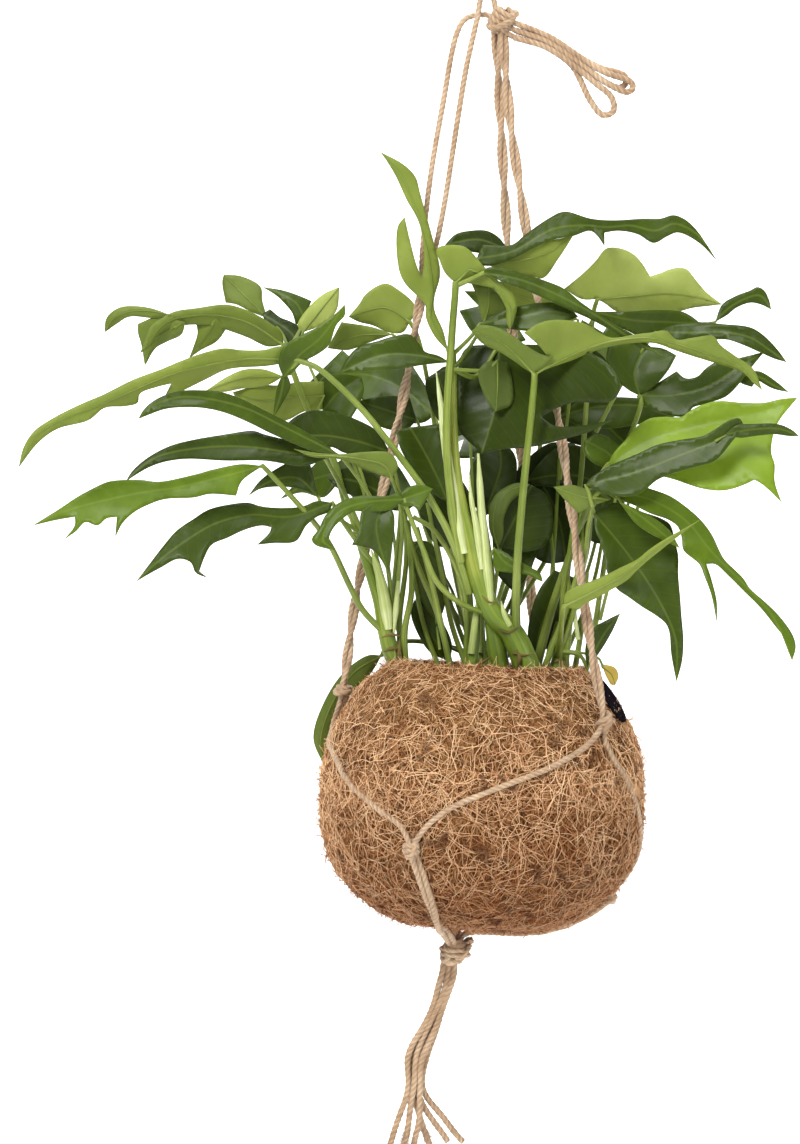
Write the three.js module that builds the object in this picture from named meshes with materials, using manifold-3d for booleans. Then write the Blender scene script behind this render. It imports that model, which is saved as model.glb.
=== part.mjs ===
// Hanging coir-ball planter with a split-leaf plant in a knotted jute hanger.
// Millimetres, +Z up, front towards -Y. Origin: inner top of the hanging loop.
// Drawn points are [across, up] as seen from the front, at the scale of the ball's middle, with
// up counted from the soil level; a third number is the depth (towards the back is positive).
import * as THREE from "three";
import { mergeVertices } from "three/addons/utils/BufferGeometryUtils.js";
import Module from "manifold-3d";

const wasm = await Module();
wasm.setup();
const { Manifold } = wasm;

// Driving dimensions
const soilLevel = -390;
const eyeX = -49.6;
const eyeZ = -329.5;
const eyeDistance = 2400;
const strand = 3;
const bladeThickness = 0.7;
const ball = { x: -3, z: -459, tiltDegrees: 2.5, segments: 24 };
const stemHoleDepth = 46;

const group = new THREE.Group();

function seen(across, up, depth = 0) {
  const s = (eyeDistance + depth) / eyeDistance;
  const z = soilLevel + up;
  return new THREE.Vector3(eyeX + (across - eyeX) * s, depth, eyeZ + (z - eyeZ) * s);
}

function solidOf(geometry) {
  const bare = new THREE.BufferGeometry();
  bare.setAttribute("position", geometry.getAttribute("position"));
  if (geometry.index) bare.setIndex(geometry.index);
  const merged = mergeVertices(bare, 1e-3);
  const source = merged.index.array;
  const corners = [];
  for (let i = 0; i < source.length; i += 3) {
    const [a, b, c] = [source[i], source[i + 1], source[i + 2]];
    if (a !== b && b !== c && c !== a) corners.push(a, b, c);
  }
  return new Manifold(
    new wasm.Mesh({
      numProp: 3,
      vertProperties: new Float32Array(merged.attributes.position.array),
      triVerts: new Uint32Array(corners),
    }),
  );
}

function add(name, solid, colour, roughness = 0.85) {
  const mesh = solid.getMesh();
  const count = mesh.numVert;
  const places = new Float32Array(count * 3);
  for (let i = 0; i < count; i += 1) {
    for (let k = 0; k < 3; k += 1) places[3 * i + k] = mesh.vertProperties[mesh.numProp * i + k];
  }
  const geometry = new THREE.BufferGeometry();
  geometry.setAttribute("position", new THREE.BufferAttribute(places, 3));
  geometry.setIndex(new THREE.BufferAttribute(new Uint32Array(mesh.triVerts), 1));
  geometry.computeVertexNormals();
  const material = new THREE.MeshStandardMaterial({ color: colour, roughness });
  const made = new THREE.Mesh(geometry, material);
  made.name = name;
  group.add(made);
}

function tube(points, diameter, steps, sides = 6) {
  const round = new THREE.Shape();
  for (let i = 0; i < sides; i += 1) {
    const angle = (2 * Math.PI * i) / sides;
    const x = (diameter / 2) * Math.cos(angle);
    const y = (diameter / 2) * Math.sin(angle);
    if (i === 0) round.moveTo(x, y);
    else round.lineTo(x, y);
  }
  round.closePath();
  const path = new THREE.CatmullRomCurve3(points, false, "centripetal");
  return solidOf(
    new THREE.ExtrudeGeometry(round, { steps, extrudePath: path, bevelEnabled: false }),
  );
}

// Leaves

function footOnRib(rib, across, up) {
  let best = { distance: Infinity, along: 0, dAcross: 0, dUp: 0 };
  for (let i = 0; i < rib.length - 1; i += 1) {
    const [x0, z0] = rib[i];
    const [x1, z1] = rib[i + 1];
    const length2 = (x1 - x0) ** 2 + (z1 - z0) ** 2;
    const raw = ((across - x0) * (x1 - x0) + (up - z0) * (z1 - z0)) / length2;
    const t = Math.min(1, Math.max(0, raw));
    const dAcross = across - (x0 + t * (x1 - x0));
    const dUp = up - (z0 + t * (z1 - z0));
    const distance = Math.hypot(dAcross, dUp);
    if (distance < best.distance) {
      best = { distance, along: (i + t) / (rib.length - 1), dAcross, dUp };
    }
  }
  return best;
}

function depthAt(shape, across, up) {
  const foot = footOnRib(shape.rib, across, up);
  const [start, end] = shape.depth;
  const [slopeAcross, slopeUp, bow = 0] = shape.lean;
  return (
    start +
    (end - start) * foot.along +
    slopeAcross * foot.dAcross +
    slopeUp * foot.dUp +
    bow * foot.distance ** 2
  );
}

function halfBlade(shape, side, points, triangles) {
  const contour = [...shape.rib, ...[...side].reverse()];
  const flat = contour.map(([x, z]) => new THREE.Vector2(x, z));
  const first = points.length;
  for (const [x, z] of contour) points.push({ x, z });
  for (const [a, b, c] of THREE.ShapeUtils.triangulateShape(flat, [])) {
    const turn =
      (flat[b].x - flat[a].x) * (flat[c].y - flat[a].y) -
      (flat[b].y - flat[a].y) * (flat[c].x - flat[a].x);
    if (Math.abs(turn) < 1e-6) continue;
    const order = turn > 0 ? [a, b, c] : [a, c, b];
    triangles.push(order.map((i) => first + i));
  }
}

function shareRibPoints(points, triangles) {
  const keyed = new Map();
  const kept = [];
  const renumber = points.map(({ x, z }) => {
    const key = x + "," + z;
    if (!keyed.has(key)) {
      keyed.set(key, kept.length);
      kept.push({ x, z });
    }
    return keyed.get(key);
  });
  return [kept, triangles.map((t) => t.map((i) => renumber[i]))];
}

// The edge without the points that lie less than the slack off the line between their neighbours.
function thinned(edge, slack = 1) {
  const kept = [edge[0]];
  for (let i = 1; i < edge.length - 1; i += 1) {
    const [x0, z0] = kept[kept.length - 1];
    const [x1, z1] = edge[i + 1];
    const [x, z] = edge[i];
    const off = Math.abs((x - x0) * (z1 - z0) - (z - z0) * (x1 - x0)) / Math.hypot(x1 - x0, z1 - z0);
    if (off > slack) kept.push(edge[i]);
  }
  kept.push(edge[edge.length - 1]);
  return kept;
}

function thicken(places, triangles) {
  const normals = places.map(() => new THREE.Vector3());
  for (const [a, b, c] of triangles) {
    const ab = places[b].clone().sub(places[a]);
    const ac = places[c].clone().sub(places[a]);
    const normal = ab.cross(ac);
    for (const i of [a, b, c]) normals[i].add(normal);
  }
  const half = bladeThickness / 2;
  const count = places.length;
  const numbers = [];
  for (const side of [half, -half]) {
    places.forEach((place, i) => {
      const moved = place.clone().addScaledVector(normals[i].clone().normalize(), side);
      numbers.push(moved.x, moved.y, moved.z);
    });
  }
  const faces = [];
  const edges = new Map();
  for (const [a, b, c] of triangles) {
    faces.push(a, b, c, count + c, count + b, count + a);
    for (const [p, q] of [[a, b], [b, c], [c, a]]) edges.set(p + "," + q, [p, q]);
  }
  for (const [p, q] of edges.values()) {
    if (edges.has(q + "," + p)) continue;
    faces.push(p, count + p, q, q, count + p, count + q);
  }
  const geometry = new THREE.BufferGeometry();
  geometry.setAttribute("position", new THREE.Float32BufferAttribute(numbers, 3));
  geometry.setIndex(faces);
  return solidOf(geometry);
}

function blade(shape) {
  const points = [];
  const triangles = [];
  halfBlade(shape, thinned(shape.above), points, triangles);
  halfBlade(shape, thinned(shape.below), points, triangles);
  const [kept, faces] = shareRibPoints(points, triangles);
  const places = kept.map(({ x, z }) => seen(x, z, depthAt(shape, x, z)));
  return thicken(places, faces);
}

function stalk(points, diameter) {
  const places = points.map(([x, z, y]) => seen(x, z, y));
  const steps = Math.max(2, Math.round(0.8 * (points.length - 1)));
  return tube(places, diameter, steps, 4);
}

// One leaf: its rib from the foot to the tip, its two edges in the same direction, the depth at the
// foot and the tip, the slope across and up (and a bow), then the stalk that carries it.
function leaf(rib, above, below, depth, lean, stem = [], width = 3) {
  return { rib, above, below, depth, lean, stem, width };
}

// A split leaf that isn't seen in the front view, drawn from its foot, its tip and its width.
const splitEdge = [
  [0.06, 0.5], [0.2, 0.95], [0.34, 0.5], [0.44, 1], [0.58, 0.42], [0.68, 0.82], [0.84, 0.3],
];
function splitLeaf(foot, tip, arch, width, depth, lean, stem) {
  const along = new THREE.Vector2(tip[0] - foot[0], tip[1] - foot[1]);
  const across = new THREE.Vector2(-along.y, along.x).normalize();
  const on = (t) => [foot[0] + along.x * t, foot[1] + along.y * t + 4 * arch * t * (1 - t)];
  const off = (t, w) => [on(t)[0] + across.x * w, on(t)[1] + across.y * w];
  const rib = [0, 0.25, 0.5, 0.75, 1].map(on);
  const above = splitEdge.map(([t, w]) => off(t, w * width));
  const below = splitEdge.map(([t, w]) => off(t, -w * width));
  const inside = [...on(0.12), depth[0] + 0.12 * (depth[1] - depth[0])];
  return leaf(rib, above, below, depth, lean, [inside, [...foot, depth[0]], ...stem], 3);
}

function cane(points, diameter, steps = 4) {
  return { points, diameter, steps };
}

function peg(x, y, diameter) {
  return { x, y, diameter };
}

function pegSolid({ x, y, diameter }, extra, depth) {
  const height = depth + 4;
  const shape = new THREE.CylinderGeometry(diameter / 2 + extra, diameter / 2 + extra, height, 10);
  shape.rotateX(Math.PI / 2);
  shape.translate(x, y, soilLevel + 4 - height / 2);
  return solidOf(shape);
}

const pegs = [];

function plantNode(name, colour, foot, canes, leaves) {
  const solids = [pegSolid(foot, 0, stemHoleDepth)];
  for (const part of canes) {
    solids.push(tube(part.points.map(([x, z, y]) => seen(x, z, y)), part.diameter, part.steps, 8));
  }
  for (const part of leaves) {
    solids.push(blade(part));
    if (part.stem.length) solids.push(stalk(part.stem, part.width));
  }
  pegs.push(foot);
  const bodies = Manifold.union(solids).simplify(0.05).decompose();
  bodies.sort((a, b) => b.volume() - a.volume());
  add(name, bodies[0], colour, 0.5);
}

const leftLeaves = [
  // upper left lobed leaf, seen from below
  leaf(
    [[-116, 190], [-137, 203], [-160, 207], [-182, 203], [-191, 194], [-198, 185]],
    [[-117, 197], [-123, 202], [-131, 207], [-140, 211], [-149, 213], [-165, 211], [-178, 209],
      [-186, 205], [-192, 200], [-195, 192]],
    [[-125, 189], [-136, 194], [-147, 198], [-158, 201], [-174, 201], [-186, 197], [-192, 189]],
    [4, -12], [0, -0.7],
    [[-128, 198, 3], [-116, 190, 4], [-111, 176, 4], [-105, 160, 2], [-96, 140, 1], [-87, 123, 0], [-80, 98, -4],
      [-72, 84, -8]], 4,
  ),
  leaf(
    [[-178, 206], [-190, 209], [-204, 209], [-213, 205], [-218, 197]],
    [[-192, 211], [-206, 212], [-212, 210], [-217, 205]],
    [[-188, 205], [-204, 206], [-211, 202]],
    [-8, -4], [0, -0.5], [[-172, 205, -8], [-182, 207, -8]], 1.6,
  ),
  leaf(
    [[-172, 203], [-182, 198], [-191, 191], [-195, 178]],
    [[-188, 206], [-199, 202], [-199, 197], [-197, 190]],
    [[-174, 196], [-182, 192], [-189, 188]],
    [-8, 2], [0, -0.4], [[-168, 206, -8], [-178, 200, -6]], 1.6,
  ),
  leaf(
    [[-154, 205], [-160, 195], [-170, 182]],
    [[-166, 203], [-165, 197], [-167, 190]],
    [[-148, 200], [-154, 192], [-163, 187]],
    [-3, 8], [0, -0.4], [[-150, 207, -3], [-157, 201, -1]], 1.6,
  ),
  // the two pointed lobes behind it
  leaf(
    [[-125, 205], [-138, 218], [-150, 230]],
    [[-128, 215], [-129, 223], [-140, 229]],
    [[-135, 209], [-143, 213], [-149, 214], [-151, 226]],
    [36, 44], [0.2, 0.5], [[-127, 207, 36], [-118, 198, 26], [-114, 190, 5]], 2,
  ),
  leaf(
    [[-104, 205], [-109, 214], [-118, 219], [-128, 223]],
    [[-100, 215], [-107, 218], [-116, 221]],
    [[-109, 201], [-111, 208], [-114, 212], [-120, 218]],
    [30, 36], [0, 0.4], [[-106, 208, 30], [-108, 196, 20], [-113, 188, 5]], 2,
  ),
  // pale lobes under the long leaf
  leaf(
    [[-116, 172], [-138, 171], [-160, 164]],
    [[-127, 176], [-138, 176], [-148, 172]],
    [[-125, 167], [-140, 165], [-151, 163]],
    [2, -4], [0, -0.5], [[-118, 172, 2], [-110, 174, 3]], 2,
  ),
  leaf(
    [[-93, 161], [-114, 160], [-130, 158], [-145, 163]],
    [[-93, 169], [-106, 169], [-118, 167], [-130, 167]],
    [[-94, 153], [-104, 152], [-114, 147], [-120, 147], [-129, 145], [-140, 154]],
    [10, 4], [0, -0.5], [[-104, 161, 9], [-97, 150, 5], [-93, 135, 1]], 2,
  ),
  // second long leaf, seen from above
  leaf(
    [[-92, 125], [-115, 129], [-140, 132], [-165, 131], [-187, 126.5], [-197, 120], [-206, 112]],
    [[-97, 130], [-115, 136], [-127, 139], [-133, 141], [-149, 139], [-167, 136], [-179, 133],
      [-188, 129], [-197, 123], [-203, 117]],
    [[-104, 121], [-127, 124], [-149, 124], [-172, 125], [-185, 123], [-193, 120], [-200, 116]],
    [-35, -58], [0, 0.6], [[-96, 126, -36], [-88, 118, -28], [-82, 107, -18], [-71, 82, -8]], 3,
  ),
  // lower left leaf with three points
  leaf(
    [[-128, 121], [-150, 115], [-175, 109], [-195, 106], [-215, 102], [-238, 96], [-259, 87]],
    [[-140, 122], [-156, 119], [-167, 116], [-187, 112], [-197, 113], [-207, 113], [-216, 112],
      [-225, 108], [-234, 103], [-243, 97]],
    [[-140, 112], [-143, 104], [-158, 105], [-167, 103], [-184, 102], [-195, 98], [-202, 94],
      [-208, 88], [-212, 80], [-211, 92], [-217, 91], [-222, 87], [-229, 89], [-234, 84],
      [-241, 79], [-235, 87], [-235, 92], [-246, 90]],
    [-55, -84], [0, 0.5],
    [[-133, 120, -56], [-125, 118, -52], [-112, 104, -45], [-98, 88, -35], [-89, 75, -27],
      [-78, 52, -18], [-71, 39, -13], [-57, 24, -7], [-47, 12, -6]], 3.6,
  ),
  leaf(
    [[-96, 103], [-108, 114], [-124, 112], [-136, 104]],
    [[-99, 115], [-101, 123], [-110, 124], [-119, 120], [-129, 113]],
    [[-104, 107], [-114, 109], [-129, 108]],
    [-28, -36], [0, 0.4], [[-101, 108, -29], [-94, 98, -24], [-71, 82, -8]], 2.4,
  ),
  // low dark leaf with a hooked lobe
  leaf(
    [[-88, 100], [-112, 92], [-135, 93], [-155, 88], [-172, 78], [-188, 66], [-200, 55]],
    [[-97, 101], [-105, 98], [-117, 97], [-129, 98], [-136, 100], [-147, 99], [-159, 96],
      [-167, 91], [-177, 84], [-184, 76], [-191, 67]],
    [[-90, 95], [-97, 92], [-103, 87], [-109, 78], [-122, 77], [-131, 76], [-124, 83],
      [-123, 86], [-128, 87], [-137, 85], [-148, 80], [-157, 76], [-161, 69], [-164, 61],
      [-159, 57], [-166, 60], [-169, 66], [-176, 68], [-186, 63], [-195, 58]],
    [-36, -72], [0, 0.6], [[-95, 98, -36], [-84, 92, -26], [-64, 64, -8]], 3,
  ),
];

plantNode(
  "left_stem_with_leaves",
  0x4f7a2c,
  peg(-43, -6, 10),
  [
    cane([[-43, 1, -6], [-44, 8, -6], [-48, 15, -6], [-55, 24, -6]], 9.6, 3),
    cane([[-53, 20, -6], [-59, 34, -7], [-62, 60, -8], [-71, 82, -8], [-79, 104, -6]], 8, 5),
  ],
  leftLeaves,
);

const centreLeaves = [
  // tall twisted leaf at the top left
  leaf(
    [[-22, 186], [-27, 195], [-32, 206], [-31, 221], [-34, 244], [-43, 274], [-50, 288],
      [-61, 300]],
    [[-30, 195], [-35, 206], [-35, 212], [-40, 218], [-46, 224], [-50, 232], [-51, 257],
      [-47, 263], [-44, 250], [-40, 235], [-37, 228], [-36, 244], [-39, 260], [-46, 273],
      [-52, 286], [-58, 296]],
    [[-23, 190], [-25, 198], [-30, 210], [-30, 217], [-27, 228], [-27, 235], [-30, 247],
      [-38, 276], [-41, 286], [-48, 293]],
    [-14, -12], [0.3, 0],
    [[-24, 190, -14], [-21, 176, -15], [-19, 150, -18], [-22, 118, -30]], 3,
  ),
  // dark back rim of the big upper leaf
  leaf(
    [[12, 244], [-5, 250], [-24, 247]],
    [[7, 251], [0, 255], [-10, 255], [-18, 253]],
    [[2, 242], [-9, 243]],
    [-28, -27], [0, 0.3], [[4, 246, -28], [-8, 236, -33], [-16, 226, -38]], 3,
  ),
  // big upper leaf reaching to the right
  leaf(
    [[-6, 239], [14, 243], [38, 256], [57, 258], [68, 257], [82, 258], [96, 255], [107, 259],
      [121, 252], [131, 238]],
    [[-3, 247], [14, 247], [22, 253], [35, 262], [44, 266], [59, 262], [71, 261], [90, 262],
      [99, 262], [106, 264], [112, 262], [119, 256]],
    [[-6, 236], [2, 235], [17, 240], [26, 245], [38, 250], [49, 252], [59, 255], [63, 252],
      [67, 246], [67, 254], [75, 255], [86, 253], [95, 248], [103, 252], [109, 254],
      [121, 248]],
    [-34, -28], [0, 0.5], [[0, 241, -34], [-8, 232, -36], [-17, 225, -39]], 3,
  ),
  leaf(
    [[-2, 236], [19, 238], [36, 243], [49, 252]],
    [[14, 242], [30, 248]],
    [[11, 232], [22, 230], [32, 228], [40, 238], [46, 247]],
    [-31, -30], [0, -0.5], [[4, 237, -31], [-8, 230, -35], [-17, 225, -39]], 3,
  ),
  // leaf folded over its stalk
  leaf(
    [[-18, 225], [-10, 233], [1, 228], [11, 216], [14, 209], [13, 198]],
    [[-24, 231], [-27, 238], [-29, 244], [-27, 246], [-13, 246], [-2, 235], [4, 229],
      [10, 223], [15, 219], [17, 211], [15, 203]],
    [[-11, 225], [0, 223], [4, 222], [7, 218], [11, 210], [11, 204]],
    [-40, -46], [0, -0.6],
    [[-15, 230, -40], [-18, 222, -40], [-20, 196, -39], [-23, 136, -38], [-20, 99, -36],
      [-15, 66, -32]], 5,
  ),
  leaf(
    [[-2, 231], [19, 227], [39, 219], [60, 208], [83, 193], [100, 184]],
    [[0, 234], [11, 233], [22, 230], [32, 227], [44, 222], [54, 214], [72, 202], [85, 195]],
    [[11, 225], [22, 221], [36, 215], [49, 209], [58, 205], [71, 198], [82, 191]],
    [-46, -58], [0, 0.5], [[6, 230, -47], [-8, 228, -42], [-17, 224, -40]], 3,
  ),
  leaf(
    [[-2, 202], [1, 212], [1, 223]],
    [[-4, 209], [-6, 218], [-9, 225]],
    [[2, 206], [10, 208], [11, 211], [7, 218]],
    [-28, -32], [0, -0.4], [[-1, 206, -28], [-9, 190, -27], [-22, 172, -38]], 2.4,
  ),
  leaf(
    [[-4, 202], [19, 206], [36, 209], [52, 206]],
    [[11, 210], [18, 212], [30, 214], [45, 213]],
    [[7, 200], [25, 198], [42, 202]],
    [-32, -46], [0, 0.4], [[4, 203, -33], [-8, 196, -32], [-22, 182, -38]], 2.4,
  ),
  // near leaf with the round hole, both wings
  leaf(
    [[27, 173], [10, 190], [-9, 198]],
    [[38, 183], [30, 185], [22, 190], [15, 195], [8, 199], [1, 201], [-4, 201]],
    [[22, 176], [15, 181], [7, 186], [-3, 191]],
    [-60, -54], [0, -0.8],
    [[25, 178, -60], [27, 170, -61], [26, 158, -60], [20, 100, -52], [17, 60, -42],
      [17, 26, -30], [19, 12, -27]], 4.6,
  ),
  leaf(
    [[27, 173], [42, 181], [60, 189], [71, 192], [92, 194], [110, 190], [128, 184],
      [145, 177], [157, 164]],
    [[34, 184], [30, 189], [21, 197], [29, 202], [36, 204], [46, 204], [56, 202], [64, 197],
      [71, 194], [85, 196], [93, 197], [102, 198], [108, 193], [117, 194], [129, 195],
      [133, 190], [141, 184], [152, 176]],
    [[36, 177], [48, 181], [60, 186], [75, 190], [95, 191], [107, 187], [116, 184],
      [129, 180], [146, 174], [152, 168]],
    [-60, -62], [0, -0.8], [[34, 176, -60], [27, 171, -61]], 3,
  ),
  // large dark heart-shaped leaf behind the stalks
  leaf(
    [[7, 190], [6, 160], [-3, 128]],
    [[-12, 188], [-17, 174], [-17, 160], [-17, 148], [-15, 140]],
    [[30, 190], [55, 187], [70, 178], [76, 166], [71, 158], [60, 157], [49, 157], [36, 152],
      [31, 149], [38, 144], [54, 144], [71, 147], [60, 141], [43, 136], [27, 132], [5, 130]],
    [-22, -26], [-0.55, 0], [[4, 160, -24], [-6, 172, -26], [-22, 178, -38]], 3,
  ),
  leaf(
    [[6, 181], [6, 165], [5, 152]],
    [[-1, 180], [-5, 174], [-2, 162], [2, 155]],
    [[12, 180], [15, 165], [14, 156]],
    [-36, -33], [0.3, 0], [[6, 172, -35], [0, 176, -34], [-22, 176, -38]], 2.4,
  ),
  leaf(
    [[-22, 100], [-30, 118], [-38, 133], [-44, 143]],
    [[-30, 105], [-40, 116], [-49, 130], [-52, 141]],
    [[-22, 106], [-22, 119], [-25, 133], [-27, 145]],
    [-14, -12], [0.2, 0.2], [[-25, 108, -14], [-21, 92, -18], [-15, 72, -30]], 2.6,
  ),
  // long leaf reaching to the lower left
  leaf(
    [[-108, 181], [-136, 182], [-161, 178], [-180, 173], [-206, 162], [-227, 153],
      [-245, 146], [-257, 138], [-267, 120]],
    [[-116, 189], [-128, 187], [-140, 187], [-150, 188], [-163, 185], [-174, 181],
      [-186, 176], [-202, 170], [-218, 162], [-232, 156], [-246, 149], [-258, 141],
      [-264, 132]],
    [[-125, 178], [-148, 176], [-161, 170], [-171, 165], [-185, 158], [-180, 168],
      [-188, 166], [-198, 162], [-199, 157], [-206, 155], [-218, 154], [-227, 147],
      [-245, 142], [-256, 134]],
    [-20, -50], [0, -0.7],
    [[-114, 181, -21], [-97, 177, -24], [-73, 155, -29], [-58, 137, -33], [-39, 112, -36],
      [-33, 103, -36], [-22, 83, -35], [-14, 62, -31], [-10, 48, -29]], 4,
  ),
  leaf(
    [[-116, 171], [-107, 184], [-95, 194], [-81, 213]],
    [[-119, 180], [-116, 189], [-105, 196], [-95, 201], [-85, 209]],
    [[-111, 174], [-105, 180], [-96, 185], [-90, 190], [-86, 201], [-81, 207]],
    [-20, -26], [0.2, -0.2], [[-104, 187, -21], [-108, 180, -21]], 3,
  ),
  leaf(
    [[-115, 175], [-118, 160], [-122, 148]],
    [[-119, 168], [-121, 158]],
    [[-112, 167], [-117, 156]],
    [-20, -16], [0, -0.1], [[-116, 168, -20], [-112, 179, -20]], 1.6,
  ),
  leaf(
    [[-105, 197], [-96, 208], [-84, 223]],
    [[-108, 201], [-102, 211], [-93, 219]],
    [[-95, 201], [-86, 209]],
    [-10, -4], [0.2, -0.2], [[-100, 203, -9], [-106, 192, -12], [-108, 182, -20]], 2,
  ),
  leaf(
    [[-21, 180], [-40, 184], [-60, 184], [-84, 174]],
    [[-28, 184], [-35, 186], [-39, 191], [-44, 196], [-53, 195], [-63, 192], [-73, 189],
      [-80, 182]],
    [[-33, 179], [-53, 176], [-70, 175]],
    [-18, -14], [0, 0.3], [[-27, 181, -18], [-20, 177, -22], [-22, 172, -38]], 2,
  ),
  // low leaf with the hooked lobe in the middle
  leaf(
    [[-47, 102], [-70, 100], [-84, 95], [-92, 85], [-94, 78], [-87, 73]],
    [[-50, 107], [-56, 104], [-71, 104], [-77, 103], [-86, 99], [-92, 93], [-96, 85],
      [-100, 79], [-98, 76], [-92, 74]],
    [[-55, 96], [-71, 95], [-76, 95], [-82, 91], [-88, 85], [-90, 79]],
    [-44, -52], [0, 0.3],
    [[-52, 101, -45], [-46, 98, -44], [-37, 75, -40], [-28, 54, -36], [-14, 42, -32],
      [2, 36, -28]], 3.2,
  ),
  leaf(
    [[-58, 102], [-63, 88], [-62, 78], [-56, 59]],
    [[-71, 96], [-73, 84], [-77, 76], [-71, 75], [-65, 73], [-60, 67]],
    [[-53, 93], [-54, 75], [-55, 66]],
    [-44, -50], [0.2, 0.1], [[-60, 95, -45], [-55, 102, -44]], 2,
  ),
  leaf(
    [[-52, 101], [-42, 104], [-31, 108]],
    [[-45, 109], [-36, 110]],
    [[-48, 98], [-42, 98], [-39, 95], [-37, 98], [-34, 103]],
    [-44, -42], [0, 0.3], [[-45, 103, -44], [-48, 99, -44]], 2,
  ),
];

plantNode(
  "centre_stem_with_leaves",
  0x557f30,
  peg(20, -26, 13),
  [
    cane([[20, 2, -26], [19, 14, -27], [12, 28, -27], [2, 36, -28], [-8, 56, -30],
      [-13, 70, -31]], 13, 5),
    cane([[-6, 42, -28], [-16, 78, -30], [-22, 120, -30], [-24, 150, -28], [-30, 177, -26]], 5, 4),
    cane([[4, 36, -27], [-4, 80, -28], [-8, 112, -27]], 5, 3),
  ],
  centreLeaves,
);

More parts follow.
